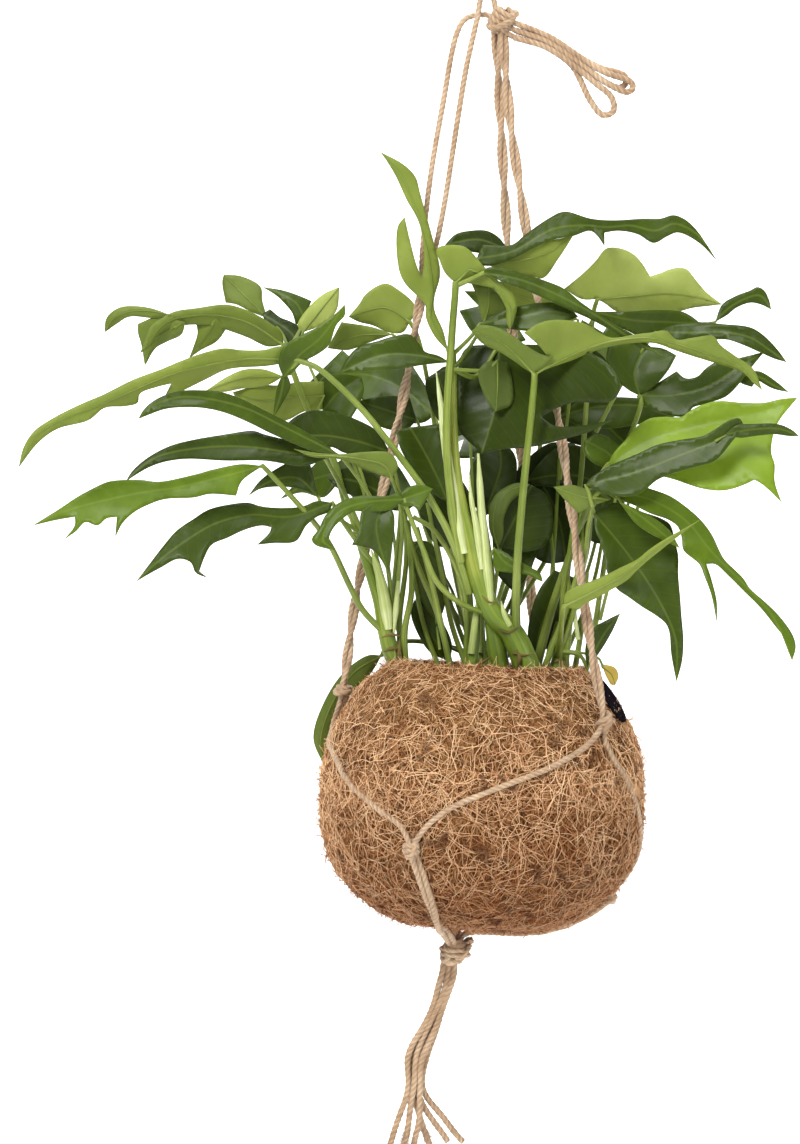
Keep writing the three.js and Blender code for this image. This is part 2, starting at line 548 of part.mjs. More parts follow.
const rightLeaves = [
  // narrow far leaf on the right
  leaf(
    [[96, 197], [117, 197], [136, 197], [150, 194], [161, 187], [171, 180]],
    [[106, 201], [117, 202], [124, 203], [133, 202], [150, 200], [157, 196], [165, 188]],
    [[104, 193], [117, 193], [129, 193], [137, 193], [146, 190], [155, 186], [164, 182]],
    [-26, -40], [0, 0.5], [[104, 197, -27], [92, 192, -20], [78, 170, -12], [62, 140, -10]], 2.4,
  ),
  // pale pointed leaf with a slit
  leaf(
    [[63, 216], [86, 218], [103, 219], [120, 217], [134, 213]],
    [[54, 216], [44, 222], [55, 231], [62, 238], [68, 245], [76, 245], [83, 242], [88, 237],
      [93, 229], [99, 231], [104, 233], [110, 234], [114, 233], [119, 227], [125, 220]],
    [[68, 213], [74, 209], [103, 209], [109, 209], [117, 211], [125, 212]],
    [-12, -16], [0, -0.5],
    [[68, 217, -12], [61, 210, -10], [59, 190, -8], [56, 147, -8], [53, 110, -9],
      [47, 70, -12], [42, 22, -13]], 3.2,
  ),
  leaf(
    [[130, 203], [138, 211], [149, 217], [156, 218], [162, 210]],
    [[134, 213], [142, 218], [150, 221], [154, 223], [158, 221], [161, 215]],
    [[137, 207], [142, 211], [150, 214], [156, 213]],
    [-15, -12], [0, 0.3], [[134, 207, -15], [124, 202, -16], [116, 203, -17]], 1.8,
  ),
  leaf(
    [[60, 209], [84, 204], [104, 203], [122, 202]],
    [[76, 209], [96, 210], [111, 209], [117, 206]],
    [[68, 204], [80, 198], [87, 195], [94, 197], [111, 199]],
    [-16, -18], [0, -0.5], [[66, 208, -16], [59, 202, -10]], 2,
  ),
  // broad dark leaf, its two parts
  leaf(
    [[87, 161], [84, 174], [90, 189]],
    [[81, 164], [75, 169], [70, 176], [68, 182], [69, 189], [80, 191]],
    [[96, 167], [103, 175], [108, 184], [100, 188]],
    [-24, -16], [0, 0.4], [[86, 170, -22], [88, 158, -25], [78, 130, -22], [66, 108, -20],
      [53, 86, -18], [45, 60, -14], [42, 22, -13]], 3.4,
  ),
  leaf(
    [[87, 161], [105, 161], [125, 166], [143, 177], [158, 186]],
    [[97, 168], [108, 175], [113, 171], [120, 172], [124, 176], [130, 180], [137, 181],
      [150, 184]],
    [[91, 155], [99, 151], [109, 149], [114, 149], [117, 154], [123, 156], [133, 159],
      [137, 161], [144, 168], [149, 175]],
    [-24, -34], [0, 0.4], [[94, 161, -24], [86, 160, -25]], 2.4,
  ),
  leaf(
    [[140, 172], [154, 172], [163, 167], [172, 163]],
    [[147, 174], [155, 175], [165, 169]],
    [[145, 168], [151, 166], [154, 170], [163, 165]],
    [-30, -32], [0, 0.3], [[146, 171, -30], [136, 171, -29], [128, 168, -29]], 1.6,
  ),
  // bright glossy leaf
  leaf(
    [[69, 122], [93, 136], [121, 144], [150, 150], [177, 160]],
    [[72, 128], [79, 136], [86, 144], [93, 148], [102, 149], [111, 149], [115, 152],
      [123, 156], [132, 158], [146, 157], [158, 157], [167, 159]],
    [[85, 118], [104, 114], [123, 108], [135, 107], [146, 110], [156, 115], [150, 115],
      [139, 113], [130, 113], [122, 119], [131, 122], [140, 117], [150, 114], [156, 111],
      [162, 106], [168, 100], [164, 112], [164, 122], [162, 129], [165, 144]],
    [-42, -56], [0, 0.3], [[78, 127, -44], [66, 118, -38], [58, 100, -28], [48, 74, -18]], 3,
  ),
  // dark leaf in front of it
  leaf(
    [[56, 110], [84, 117], [110, 127], [132, 136], [146, 145]],
    [[59, 114], [70, 121], [86, 128], [97, 133], [111, 136], [123, 138], [130, 142],
      [138, 147], [144, 148]],
    [[67, 105], [84, 104], [92, 109], [97, 113], [107, 117], [121, 121], [130, 124],
      [139, 134], [144, 141]],
    [-62, -76], [0, 0.4], [[66, 113, -63], [58, 106, -62], [60, 98, -60]], 2.4,
  ),
  leaf(
    [[136, 139], [153, 142], [167, 142], [178, 138]],
    [[142, 144], [153, 145], [165, 145], [173, 142]],
    [[144, 137], [152, 138], [164, 139], [172, 138]],
    [-75, -82], [0, -0.3], [[142, 141, -76], [130, 135, -75]], 1.6,
  ),
  leaf(
    [[71, 102], [56, 103], [38, 109]],
    [[62, 108], [56, 108], [49, 110]],
    [[60, 98], [52, 94], [44, 102]],
    [-60, -58], [0, 0.3], [[64, 102, -60], [60, 103, -61]], 2,
  ),
  // long leaf hanging to the right
  leaf(
    [[65, 107], [92, 102], [113, 90], [128, 72], [146, 54], [163, 35], [174, 10]],
    [[71, 108], [82, 111], [93, 108], [104, 104], [113, 98], [122, 90], [128, 82],
      [135, 68], [141, 62], [146, 57], [150, 51], [159, 43], [167, 35], [174, 25],
      [176, 18]],
    [[74, 102], [83, 99], [93, 94], [104, 90], [109, 86], [111, 80], [112, 73], [121, 65],
      [124, 58], [128, 47], [131, 31], [131, 43], [128, 56], [125, 65], [130, 65],
      [138, 58], [146, 50], [156, 40], [164, 30], [170, 22]],
    [-62, -70], [0.2, 0.4], [[75, 106, -63], [62, 104, -60], [58, 88, -52], [56, 70, -40],
      [50, 40, -20], [41, 14, -12]], 3,
  ),
  leaf(
    [[75, 101], [88, 92], [103, 80], [110, 74]],
    [[86, 96], [94, 92], [104, 84]],
    [[78, 97], [84, 89], [92, 83], [102, 78]],
    [-68, -72], [0, 0.4], [[80, 98, -68], [74, 104, -64]], 1.8,
  ),
  // wide dark leaf hanging below
  leaf(
    [[61, 94], [80, 71], [97, 46], [107.5, 22], [108, -2]],
    [[71, 100], [88, 95], [104, 88], [107, 78], [109, 70], [109, 59], [110, 47], [111, 34],
      [112, 20], [111, 9]],
    [[62, 84], [65, 77], [69, 59], [74, 51], [81, 46], [88, 41], [96, 36], [102, 31],
      [104, 26], [105, 14]],
    [-54, -62], [0.2, 0.3], [[64, 90, -55], [60, 97, -56], [60, 92, -50]], 2.4,
  ),
  // grey-green leaf across the right leg
  leaf(
    [[44, 41], [60, 49], [80, 60], [97, 74], [121, 90]],
    [[44, 47], [48, 51], [56, 54], [66, 58], [76, 63], [86, 68], [92, 73], [101, 79]],
    [[52, 39], [55, 42], [63, 46], [70, 50], [80, 56], [86, 62], [94, 69]],
    [-56, -66], [0, -0.4], [[50, 44, -56], [43, 38, -54], [42, 26, -38], [40, 12, -13]], 3.4,
  ),
  leaf(
    [[57, 6], [66, 24], [76, 37]],
    [[56, 17], [60, 28], [68, 33]],
    [[63, 13], [71, 26]],
    [-18, -20], [0.2, 0.2], [[60, 13, -18], [53, 13, -17], [42, 15, -13]], 2.4,
  ),
  // small yellowed leaf at the edge of the ball
  leaf(
    [[66, 6], [71, 2], [73, -4]],
    [[66, 8], [73, 6], [75, 1]],
    [[67, 3], [69, -1], [71, -4]],
    [-20, -22], [0, 0.2], [[69, 4, -21], [64, 11, -20], [56, 14, -18], [43, 16, -13]], 1.6,
  ),
];

plantNode(
  "right_stem_with_leaves",
  0x4c7a2a,
  peg(38, -12, 11),
  [
    cane([[38, 2, -12], [40, 10, -12], [42, 22, -13]], 10, 3),
    cane([[40, 8, -12], [46, 40, -12], [45, 70, -13]], 5, 3),
  ],
  rightLeaves,
);

const backLeaves = [
  leaf(
    [[-44, 203], [-58, 211], [-79, 206]],
    [[-40, 209], [-42, 214], [-50, 221], [-58, 225], [-69, 219], [-73, 213]],
    [[-48, 197], [-56, 197], [-65, 201], [-73, 203]],
    [18, 22], [0, -0.2], [[-49, 206, 19], [-40, 196, 18], [-34, 170, 18], [-28, 130, 20],
      [-22, 80, 24], [-12, 30, 27]], 3,
  ),
  leaf(
    [[-54, 196], [-75, 195], [-91, 188]],
    [[-65, 200], [-83, 203]],
    [[-68, 191], [-79, 187]],
    [17, 14], [0, -0.3], [[-60, 196, 17], [-46, 190, 18], [-38, 184, 18]], 2,
  ),
  leaf(
    [[-40, 147], [-58, 153], [-74, 158]],
    [[-44, 160], [-58, 161]],
    [[-47, 141], [-64, 145]],
    [16, 20], [0, 0.1], [[-46, 149, 16], [-36, 138, 18], [-29, 132, 20]], 2,
  ),
  // dark leaf between the stalks
  leaf(
    [[16, 48], [15, 70], [18, 92], [22, 110]],
    [[5, 61], [3, 80], [1, 98], [5, 103], [13, 108]],
    [[24, 60], [31, 80], [34, 96], [29, 107]],
    [4, 0], [0.1, 0], [[16, 60, 4], [12, 40, 10], [-1, 9, 28]], 3,
  ),
  // small low leaves
  leaf(
    [[-26, 61], [-33, 70], [-42, 78]],
    [[-34, 63], [-41, 70]],
    [[-27, 70], [-34, 78]],
    [10, 8], [0, 0.1], [[-28, 64, 10], [-20, 50, 18], [-12, 26, 26]], 2,
  ),
  leaf(
    [[-27, 22], [-32, 36], [-40, 50]],
    [[-36, 28], [-41, 40]],
    [[-27, 36], [-34, 48]],
    [12, 10], [0, 0.1], [[-28, 26, 12], [-18, 16, 20], [-3, 12, 28]], 2,
  ),
  // leaf hanging behind the ball on the left
  leaf(
    [[-60, 13], [-76, 3], [-89, -16], [-95, -36], [-93, -50]],
    [[-68, 13], [-82, 3], [-93, -14], [-99, -34]],
    [[-66, 3], [-79, -11], [-88, -28], [-91, -43]],
    [24, 40], [0, 0], [[-66, 9, 26], [-58, 17, 24], [-46, 21, 24], [-26, 19, 26], [-3, 12, 28]],
    3,
  ),
  // leaves towards the back
  splitLeaf([-30, 150], [-110, 160], 18, 18, [50, 92], [0, 0.9],
    [[-22, 120, 44], [-12, 70, 36], [-8, 26, 28]]),
  splitLeaf([30, 165], [96, 184], 14, 18, [55, 108], [0, 0.9],
    [[31, 140, 40], [20, 80, 30], [-2, 12, 28]]),
  splitLeaf([0, 190], [16, 226], 6, 22, [45, 122], [0.7, 0],
    [[-4, 120, 38], [-5, 40, 30], [-2, 12, 28]]),
  splitLeaf([50, 110], [120, 118], 16, 17, [50, 98], [0, 0.8],
    [[40, 80, 36], [14, 36, 28], [-1, 14, 28]]),
  splitLeaf([-40, 100], [-118, 102], 16, 15, [44, 84], [0, 0.8],
    [[-30, 70, 36], [-18, 36, 30], [-8, 26, 28]]),
  splitLeaf([0, 130], [-18, 148], 8, 20, [60, 132], [0.6, 0],
    [[-4, 70, 45], [-2, 12, 29]]),
  splitLeaf([20, 88], [48, 76], 10, 18, [72, 126], [0.3, 0.4],
    [[8, 50, 55], [-1, 14, 28]]),
];

plantNode(
  "back_stem_with_leaves",
  0x45702a,
  peg(0, 28, 12),
  [cane([[0, 2, 28], [-2, 10, 28], [-12, 34, 27]], 10, 3)],
  backLeaves,
);

// The ball and the soil in it

const tilt = new THREE.Matrix4()
  .makeTranslation(ball.x, 0, ball.z)
  .multiply(new THREE.Matrix4().makeRotationY((ball.tiltDegrees * Math.PI) / 180));

function turned(profile) {
  const points = profile.map(([r, z]) => new THREE.Vector2(r, z));
  const shape = new THREE.LatheGeometry(points, ball.segments);
  shape.rotateX(Math.PI / 2);
  return solidOf(shape);
}

const outerProfile = [
  [0, -70.5], [34, -70.5], [54.2, -65.5], [70.2, -53.5], [80.5, -42], [88.2, -26], [90.9, 0],
  [89.5, 19.4], [83.5, 41.6], [71.2, 62], [58.7, 72.8], [55.5, 76], [53.5, 76.5],
];
const innerProfile = [
  [52, 74], [52.5, 66], [74, 45], [84, 8], [82, -24], [63, -52], [34, -63.5], [0, -63.5],
];
const soilProfile = [
  [0, -63.1], [33.9, -63.1], [62.7, -51.7], [81.6, -24], [83.6, 8], [73.6, 44.8], [53.5, 64],
  [0, 64],
];

add("coir_ball", turned([...outerProfile, ...innerProfile]).transform(tilt.elements), 0x9c744f, 0.95);

let soil = turned(soilProfile).transform(tilt.elements);
for (const foot of pegs) soil = soil.subtract(pegSolid(foot, 0.4, stemHoleDepth + 1));
add("potting_soil", soil, 0x3b2b20, 0.95);

// The jute hanger

const toBall = tilt.clone().invert();

function clearance(point) {
  const p = point.clone().applyMatrix4(toBall);
  const r = Math.hypot(p.x, p.y);
  let best = Infinity;
  let inside = false;
  for (let i = 0; i < outerProfile.length - 1; i += 1) {
    const [r0, z0] = outerProfile[i];
    const [r1, z1] = outerProfile[i + 1];
    const raw = ((r - r0) * (r1 - r0) + (p.z - z0) * (z1 - z0)) / ((r1 - r0) ** 2 + (z1 - z0) ** 2);
    const t = Math.min(1, Math.max(0, raw));
    best = Math.min(best, Math.hypot(r - r0 - t * (r1 - r0), p.z - z0 - t * (z1 - z0)));
    if (z0 <= p.z !== z1 <= p.z && r < r0 + ((p.z - z0) / (z1 - z0)) * (r1 - r0)) inside = true;
  }
  return inside ? -best : best;
}

function between(outside, inside, lift) {
  let near = outside;
  let far = inside;
  if (clearance(inside) >= lift) return inside;
  for (let i = 0; i < 30; i += 1) {
    const middle = near.clone().add(far).multiplyScalar(0.5);
    if (clearance(middle) > lift) near = middle;
    else far = middle;
  }
  return near;
}

// A drawn point let down on the front of the ball.
function onFront(across, up, lift = strandLift) {
  const from = seen(across, up, -120);
  const to = seen(across, up, 0);
  return between(from, to, lift);
}

// A point on the ball by its turn from the right-hand side and its height angle.
function onBall(turnDegrees, heightDegrees, lift = strandLift) {
  const turn = (turnDegrees * Math.PI) / 180;
  const height = (heightDegrees * Math.PI) / 180;
  const out = new THREE.Vector3(
    160 * Math.cos(turn) * Math.cos(height),
    160 * Math.sin(turn) * Math.cos(height),
    160 * Math.sin(height),
  );
  const middle = new THREE.Vector3(0, 0, 0).applyMatrix4(tilt);
  return between(out.applyMatrix4(tilt), middle, lift);
}

// The same line, moved out of the ball where it would lie too deep.
function hugged(points, steps, lift) {
  const path = new THREE.CatmullRomCurve3(points, false, "centripetal");
  const middle = new THREE.Vector3(0, 0, 0).applyMatrix4(tilt);
  return path.getSpacedPoints(steps).map((place) => {
    if (clearance(place) >= lift) return place;
    const out = place.clone().sub(middle).setLength(200).add(middle);
    return between(out, place, lift);
  });
}

function twistedPair(points, turns, steps, apart = 3.4) {
  const path = new THREE.CatmullRomCurve3(hugged(points, steps, pairLift), false, "centripetal");
  const frames = path.computeFrenetFrames(steps, false);
  return [0, Math.PI].map((phase) => {
    const places = [];
    for (let i = 0; i <= steps; i += 1) {
      const angle = phase + (2 * Math.PI * turns * i) / steps;
      const place = path.getPointAt(i / steps);
      place.addScaledVector(frames.normals[i], (apart / 2) * Math.cos(angle));
      place.addScaledVector(frames.binormals[i], (apart / 2) * Math.sin(angle));
      places.push(place);
    }
    return tube(places, strand, steps, 4);
  });
}

function knot(place, width, height, leanDegrees = 0) {
  const body = new THREE.SphereGeometry(0.5, 8, 5);
  body.rotateX(Math.PI / 2);
  body.scale(width, width * 0.9, height);
  if (!leanDegrees) return solidOf(body).translate([place.x, place.y, place.z]);
  const wrap = new THREE.TorusGeometry(width / 2 - 0.6, strand / 2, 4, 9);
  wrap.rotateX((leanDegrees * Math.PI) / 180);
  wrap.rotateY((leanDegrees * Math.PI) / 360);
  const both = solidOf(body).add(solidOf(wrap));
  return both.translate([place.x, place.y, place.z]);
}

const strandLift = strand / 2 + 0.8;
const pairLift = strand + 1.2;
const leftKnot = new THREE.Vector3(-82, 0, -397);
const rightKnot = onFront(63.8, -27, 6);
const backKnot = onBall(66, 40, 6);
const frontLowKnot = onFront(-41.6, -96, 5.4);
const rightLowKnot = onBall(4, -35, 5.4);
const backLowKnot = onBall(120, -35, 5.4);
const bottomKnot = seen(-18, -154, -3);
const topKnot = new THREE.Vector3(7, 0, -16);

const loop = [
  topKnot, [5, 0, -9], [4, 0, -4], [2.8, 0, -0.4], [0, 0, 1.5], [-2.8, 0, -0.4], [-4, 0, -4],
  [-5, -0.5, -11],
].map((p) => (p.isVector3 ? p : seen(p[0], p[2] - soilLevel, p[1])));
const strandFromLoop = [
  [-4, 0, -4], [-5, -0.5, -11], [-12, -1, -43], [-27, 0, -134], [-36, 0, -169], [-38, 0, -178],
].map(([x, y, z]) => seen(x, z - soilLevel, y));
const slackStrand = [
  [6, 3, -15], [0, 4.5, -12], [-12, 4, -14], [-17, 3.5, -22], [-25, 3, -62], [-32.5, 2, -106],
  [-37, 0, -150], [-37.5, 0, -172], [-39, 0, -180],
].map(([x, y, z]) => seen(x, z - soilLevel, y));
const leftLeg = [
  [-37.5, 0, -172], [-47, 0, -226], [-58, 0, -277], [-67, 0, -310], [-74, 0, -340], [-82, 0, -396],
].map(([x, y, z]) => seen(x, z - soilLevel, y));
const rightLeg = [
  [9, -1, -22], [13, -9, -70], [22.8, -18, -137], [41.6, -33, -248], [58.7, -52, -368],
].map(([x, y, z]) => seen(x, z - soilLevel, y)).concat([rightKnot]);
const backLeg = [
  [5, 1, -20], [11.4, 20, -140], [18, 44, -250], [26, 66, -360],
].map(([x, y, z]) => seen(x, z - soilLevel, y)).concat([onBall(66, 46, 5), backKnot]);

const netStrands = [
  [leftKnot, seen(-83.5, -13, 0), onFront(-87.5, -30), onFront(-84, -47), onFront(-77, -60),
    onFront(-62, -73.5), onFront(-48, -85), frontLowKnot],
  [rightKnot, onFront(57, -38), onFront(36.5, -51), onFront(18, -58), onFront(1.7, -64.4),
    onFront(-21.7, -75), onFront(-35, -86), frontLowKnot],
  [rightKnot, onFront(65.5, -34), onFront(71, -47), onFront(78, -58), onFront(82, -68),
    onBall(-15, -5), onBall(-6, -18), rightLowKnot],
  [backKnot, onBall(60, 30), onBall(48, 15), onBall(34, 0), onBall(20, -14), rightLowKnot],
  [backKnot, onBall(72, 30), onBall(84, 15), onBall(96, 0), onBall(108, -16), backLowKnot],
  [leftKnot, onBall(178, 34), onBall(168, 22), onBall(154, 8), onBall(140, -8), onBall(128, -22),
    backLowKnot],
];
const netPairs = [
  [frontLowKnot, onFront(-37, -110, pairLift), onFront(-30, -130, pairLift),
    seen(-22, -148, -14), bottomKnot],
  [rightLowKnot, onBall(3, -44, pairLift), onBall(2, -55, pairLift), onBall(1, -66, pairLift),
    onBall(0, -78, pairLift), bottomKnot],
  [backLowKnot, onBall(121, -46, pairLift), onBall(123, -58, pairLift),
    onBall(128, -70, pairLift), bottomKnot],
];

const soilFromLoop = -soilLevel;
const jute = [
  tube(loop, strand, 18),
  tube(strandFromLoop, strand, 8),
  tube(slackStrand, strand, 14),
  ...twistedPair(leftLeg, 2.5, 16),
  ...twistedPair(rightLeg, 3, 20),
  ...twistedPair(backLeg, 3, 20),
  ...netStrands.map((points) => tube(hugged(points, 11, strandLift), strand, 11, 4)),
  ...netPairs.flatMap((points) => twistedPair(points, 0.6, 8)),
  knot(topKnot, 13, 18, 35),
  knot(topKnot.clone().add(new THREE.Vector3(0.5, 0, 4)), 11, 8, -30),
  knot(leftKnot, 9.5, 10),
  knot(rightKnot, 11.5, 10.5),
  knot(backKnot, 10, 10),
  knot(frontLowKnot, 9.5, 9.5),
  knot(rightLowKnot, 9.5, 8.5),
  knot(backLowKnot, 9.5, 8.5),
  tube([seen(7.2, soilFromLoop - 17.8), seen(16.1, soilFromLoop - 20.8)], 11.5, 1, 8),
  tube([bottomKnot, seen(-21.8, -158), seen(-21.8, -162.1)], 11.6, 2, 8),
  knot(bottomKnot, 16, 14, 18),
  knot(bottomKnot.clone().add(new THREE.Vector3(1, 0, 3)), 14, 8, -22),
];
const hanger = Manifold.union(jute).simplify(0.2).decompose();
hanger.sort((a, b) => b.volume() - a.volume());
add("jute_hanger", hanger[0], 0xb99773, 0.95);

// Free strands: three doubled ones beside the top knot, six ends under the bottom knot

const freeStrands = {
  jute_bight_upper: [
    [17.7, -1.7, -17.2], [36, -1.7, -23.8], [54, -1.7, -35.6], [67, -1.7, -44.6], [80, -1.7, -49],
    [83, -1.7, -54], [76, -1.7, -55], [66, -1.7, -49.3], [53, -1.7, -39.6], [35, -1.7, -27.5],
    [16.5, -1.7, -20.9],
  ],
  jute_bight_middle: [
    [17.7, 2, -17.2], [36, 2, -23.8], [54, 2, -35.6], [66, 2, -43.6], [75, 2.5, -46],
    [78, 2.5, -51], [72, 2.5, -52], [64, 2, -48], [53, 2, -39.6], [35, 2, -27.5], [16.5, 2, -20.9],
  ],
  jute_bight_lower: [
    [15.2, -1.8, -24.7], [34, -1.8, -31.4], [51, -1.8, -43], [62, -1.4, -51], [71, -1, -59],
    [72, 0.5, -67], [66, 1, -69], [59, 1.5, -61], [52.5, 1.9, -50], [48, 2, -41.5],
    [34, 2, -31.4], [15.2, 2, -24.7],
  ],
};
for (const [name, points] of Object.entries(freeStrands)) {
  const places = points.map(([x, y, z]) => seen(x, z - soilLevel, y));
  add(name, tube(places, strand, 11, 6), 0xc3a078, 0.95);
}

const tailEnds = [
  [-24.8, -2, -46, -56, -9], [-20.8, -2, -41, -48, -6], [-16.8, -2, -36, -42, -3],
  [-24.8, 2, -43.5, -32, 6], [-20.8, 2, -38.5, -22.5, 8], [-16.8, 2, -33.5, -14, 11],
];
tailEnds.forEach(([top, depth, middle, end, endDepth], i) => {
  const places = [
    seen(top - 1, -162.5, depth * 1.1), seen(top - 1.2, -167, depth * 1.1),
    seen(top - 4, -178, depth * 1.1),
    seen((top + middle) / 2 - 1, -196, depth * 1.15), seen(middle, -216, depth * 1.25),
    seen(middle - 1, -234, depth * 1.5), seen((middle + end) / 2, -252, (depth + endDepth) / 2),
    seen(end, -268 + (i > 3 ? 4 : 0), endDepth),
  ];
  add("jute_end_" + (i + 1), tube(places, strand, 7, 6), 0xc3a078, 0.95);
});

// The plant tag tucked behind the right leg

const tagWidth = 20;
const tagHeight = 28;
const tagTurn = -20;
const tag = new THREE.CylinderGeometry(0.5, 0.5, 1, 20);
tag.scale(tagHeight, 1, tagWidth);
tag.rotateZ((-59 * Math.PI) / 180);
tag.rotateX(Math.PI / 2);
tag.rotateZ((tagTurn * Math.PI) / 180);
const tagPlace = onBall(tagTurn, 38.5, 1);
tag.translate(tagPlace.x, tagPlace.y, tagPlace.z);
add("plant_tag", solidOf(tag), 0x1a1618, 0.35);

export default group;
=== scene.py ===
"""Hanging coir-ball planter with a mini split-leaf plant in a knotted jute net.

Drawn points are (across, up) or (across, up, depth) in millimetres, as seen from the front at the
depth of the ball's middle, with up counted from the soil. seen() turns them into places in metres.
"""

import math
import random

import bpy
from mathutils import Matrix, Vector, kdtree, noise
from mathutils.bvhtree import BVHTree
from mathutils.geometry import delaunay_2d_cdt


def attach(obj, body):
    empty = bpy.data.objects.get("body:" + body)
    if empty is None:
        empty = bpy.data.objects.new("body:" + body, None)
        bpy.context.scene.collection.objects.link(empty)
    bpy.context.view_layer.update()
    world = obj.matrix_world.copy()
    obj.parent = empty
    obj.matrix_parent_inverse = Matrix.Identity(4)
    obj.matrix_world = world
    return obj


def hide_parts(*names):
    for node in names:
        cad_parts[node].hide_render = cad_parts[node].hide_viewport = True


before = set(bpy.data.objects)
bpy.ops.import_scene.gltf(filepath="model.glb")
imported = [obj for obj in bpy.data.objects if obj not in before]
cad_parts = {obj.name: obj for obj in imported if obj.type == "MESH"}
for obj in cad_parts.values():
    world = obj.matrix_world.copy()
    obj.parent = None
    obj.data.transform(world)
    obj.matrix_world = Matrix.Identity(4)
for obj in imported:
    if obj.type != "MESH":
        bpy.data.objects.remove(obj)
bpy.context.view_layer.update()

# Driving sizes, in millimetres unless they say otherwise
MM = 0.001
SOIL_LEVEL = -390.0
EYE = Vector((-49.6, -2400.0, -329.5))
LENS = 132.5
SENSOR_HEIGHT = 36.0
STRAND = 3.0
STRANDS_APART = 3.4
TWIST_PITCH = 10.5
TWINE_SIDES = 12
TWINE_STEP = 1.2
PLIES = 3
RING_SHARE = 0.55  # the twine's mean radius as a share of the strand's thickness
LOBE_SWELL = 0.08
HAIR_LENGTH = 2.6
HAIR_RADIUS = 0.05
BLADE_THICKNESS = 0.4
BLADE_GRID = 2.3
ROW_SHARE = 0.87  # the grid's rows lie this share of its step apart
CLEAR_SHARE = 0.55  # and its points at least this share of it from the blade's edge
RIB_STEP = 2.0
EDGE_STEP = 1.7
FOLD = 0.22  # how far a blade rises from its rib, for each millimetre across
RIPPLE = 0.14
CURL = 3.6
CURL_SIZE = 26
CALM_WIDTH = 7  # how far from the rib the ripples and the curl are full
CANE_STEP = 1.5
STALK_STEP = 2.5
LEAF_MAP_SPAN = 200.0
BALL_PLACE = Vector((-3.0, 0.0, -459.0))
BALL_TILT = math.radians(2.5)
BALL_TO_ROOT = Matrix.Translation(BALL_PLACE) @ Matrix.Rotation(BALL_TILT, 4, "Y")
FLOOR_LEVEL = -0.80  # in metres, as the sizes of the room below


def seen(across, up, depth=0.0):
    """The place in metres of a drawn point at a depth behind the ball's middle."""
    scale = (depth - EYE.y) / -EYE.y
    x = EYE.x + (across - EYE.x) * scale
    z = EYE.z + (SOIL_LEVEL + up - EYE.z) * scale
    return Vector((x, depth, z)) * MM


def at_root(x, y, z):
    """A drawn point whose height is counted from the loop instead of the soil."""
    return seen(x, z - SOIL_LEVEL, y)


# Camera


def make_camera():
    data = bpy.data.cameras.new("photo_view")
    data.sensor_fit = "VERTICAL"
    data.sensor_height = SENSOR_HEIGHT
    data.lens = LENS
    data.clip_end = 20
    camera = bpy.data.objects.new("photo_view", data)
    camera.location = EYE * MM
    camera.rotation_euler = (math.radians(90), 0, 0)
    bpy.context.collection.objects.link(camera)
    bpy.context.scene.camera = camera


make_camera()

# Node trees and finishes


class Value:
    """A socket of a node tree, so that sums of sockets read like sums."""

    def __init__(self, tree, socket):
        self.tree = tree
        self.socket = socket

    def math(self, kind, second=0.0, third=0.0, clamp=False):
        made = node(self.tree, "ShaderNodeMath", {0: self, 1: second, 2: third}, operation=kind)
        made.use_clamp = clamp
        return Value(self.tree, made.outputs[0])

    def __add__(self, other):
        return self.math("ADD", other)

    def __sub__(self, other):
        return self.math("SUBTRACT", other)

    def __mul__(self, other):
        return self.math("MULTIPLY", other)

    def line(self, factor, shift, clamp=False):
        return self.math("MULTIPLY_ADD", factor, shift, clamp)

    def size(self):
        return self.math("ABSOLUTE")

    def most(self, other):
        return self.math("MAXIMUM", other)

    def grain(self, scale, detail=3.0, rough=0.55, twist=0.0):
        """Noise at this place."""
        feeds = {"Vector": self, "Scale": scale, "Detail": detail, "Roughness": rough, "Distortion": twist}
        return out(self.tree, "ShaderNodeTexNoise", feeds)


def node(tree, kind, feeds=None, **settings):
    """A node with its settings, its inputs linked or set."""
    made = tree.nodes.new(kind)
    for key, value in settings.items():
        setattr(made, key, value)
    for key, value in (feeds or {}).items():
        if isinstance(value, Value):
            tree.links.new(value.socket, made.inputs[key])
        else:
            made.inputs[key].default_value = value
    return made


def out(tree, kind, feeds=None, output=0, **settings):
    """One output of a new node."""
    return Value(tree, node(tree, kind, feeds, **settings).outputs[output])


def paint(red, green, blue):
    """A colour as the eye names it, from 0 to 255, for a shader socket."""
    parts = [v / 255 for v in (red, green, blue)]
    return tuple(v / 12.92 if v <= 0.04045 else ((v + 0.055) / 1.055) ** 2.4 for v in parts) + (1.0,)


def ramp(factor, *stops):
    """Colours along a factor, each stop a place and a colour's red, green and blue."""
    made = node(factor.tree, "ShaderNodeValToRGB", {0: factor})
    stripe = made.color_ramp.elements
    while len(stripe) < len(stops):
        stripe.new(0.5)
    for element, (place, *colour) in zip(stripe, stops):
        element.position = place
        element.color = paint(*colour)
    return Value(factor.tree, made.outputs[0])


def mask(factor, start, end):
    return ramp(factor, (start, 0, 0, 0), (end, 255, 255, 255))


def mixed(share, first, second):
    """The first colour going over to the second, which may be red, green and blue."""
    if isinstance(second, tuple):
        second = paint(*second)
    feeds = {0: share, 6: first, 7: second}
    return out(first.tree, "ShaderNodeMix", feeds, 2, data_type="RGBA", blend_type="MIX")


def finish_of(name, roughness, **sockets):
    """A new material and its tree."""
    material = bpy.data.materials.new(name)
    material.use_nodes = True
    shader = material.node_tree.nodes["Principled BSDF"]
    shader.inputs["Roughness"].default_value = roughness
    for key, value in sockets.items():
        shader.inputs[key.replace("_", " ")].default_value = value
    return material, material.node_tree


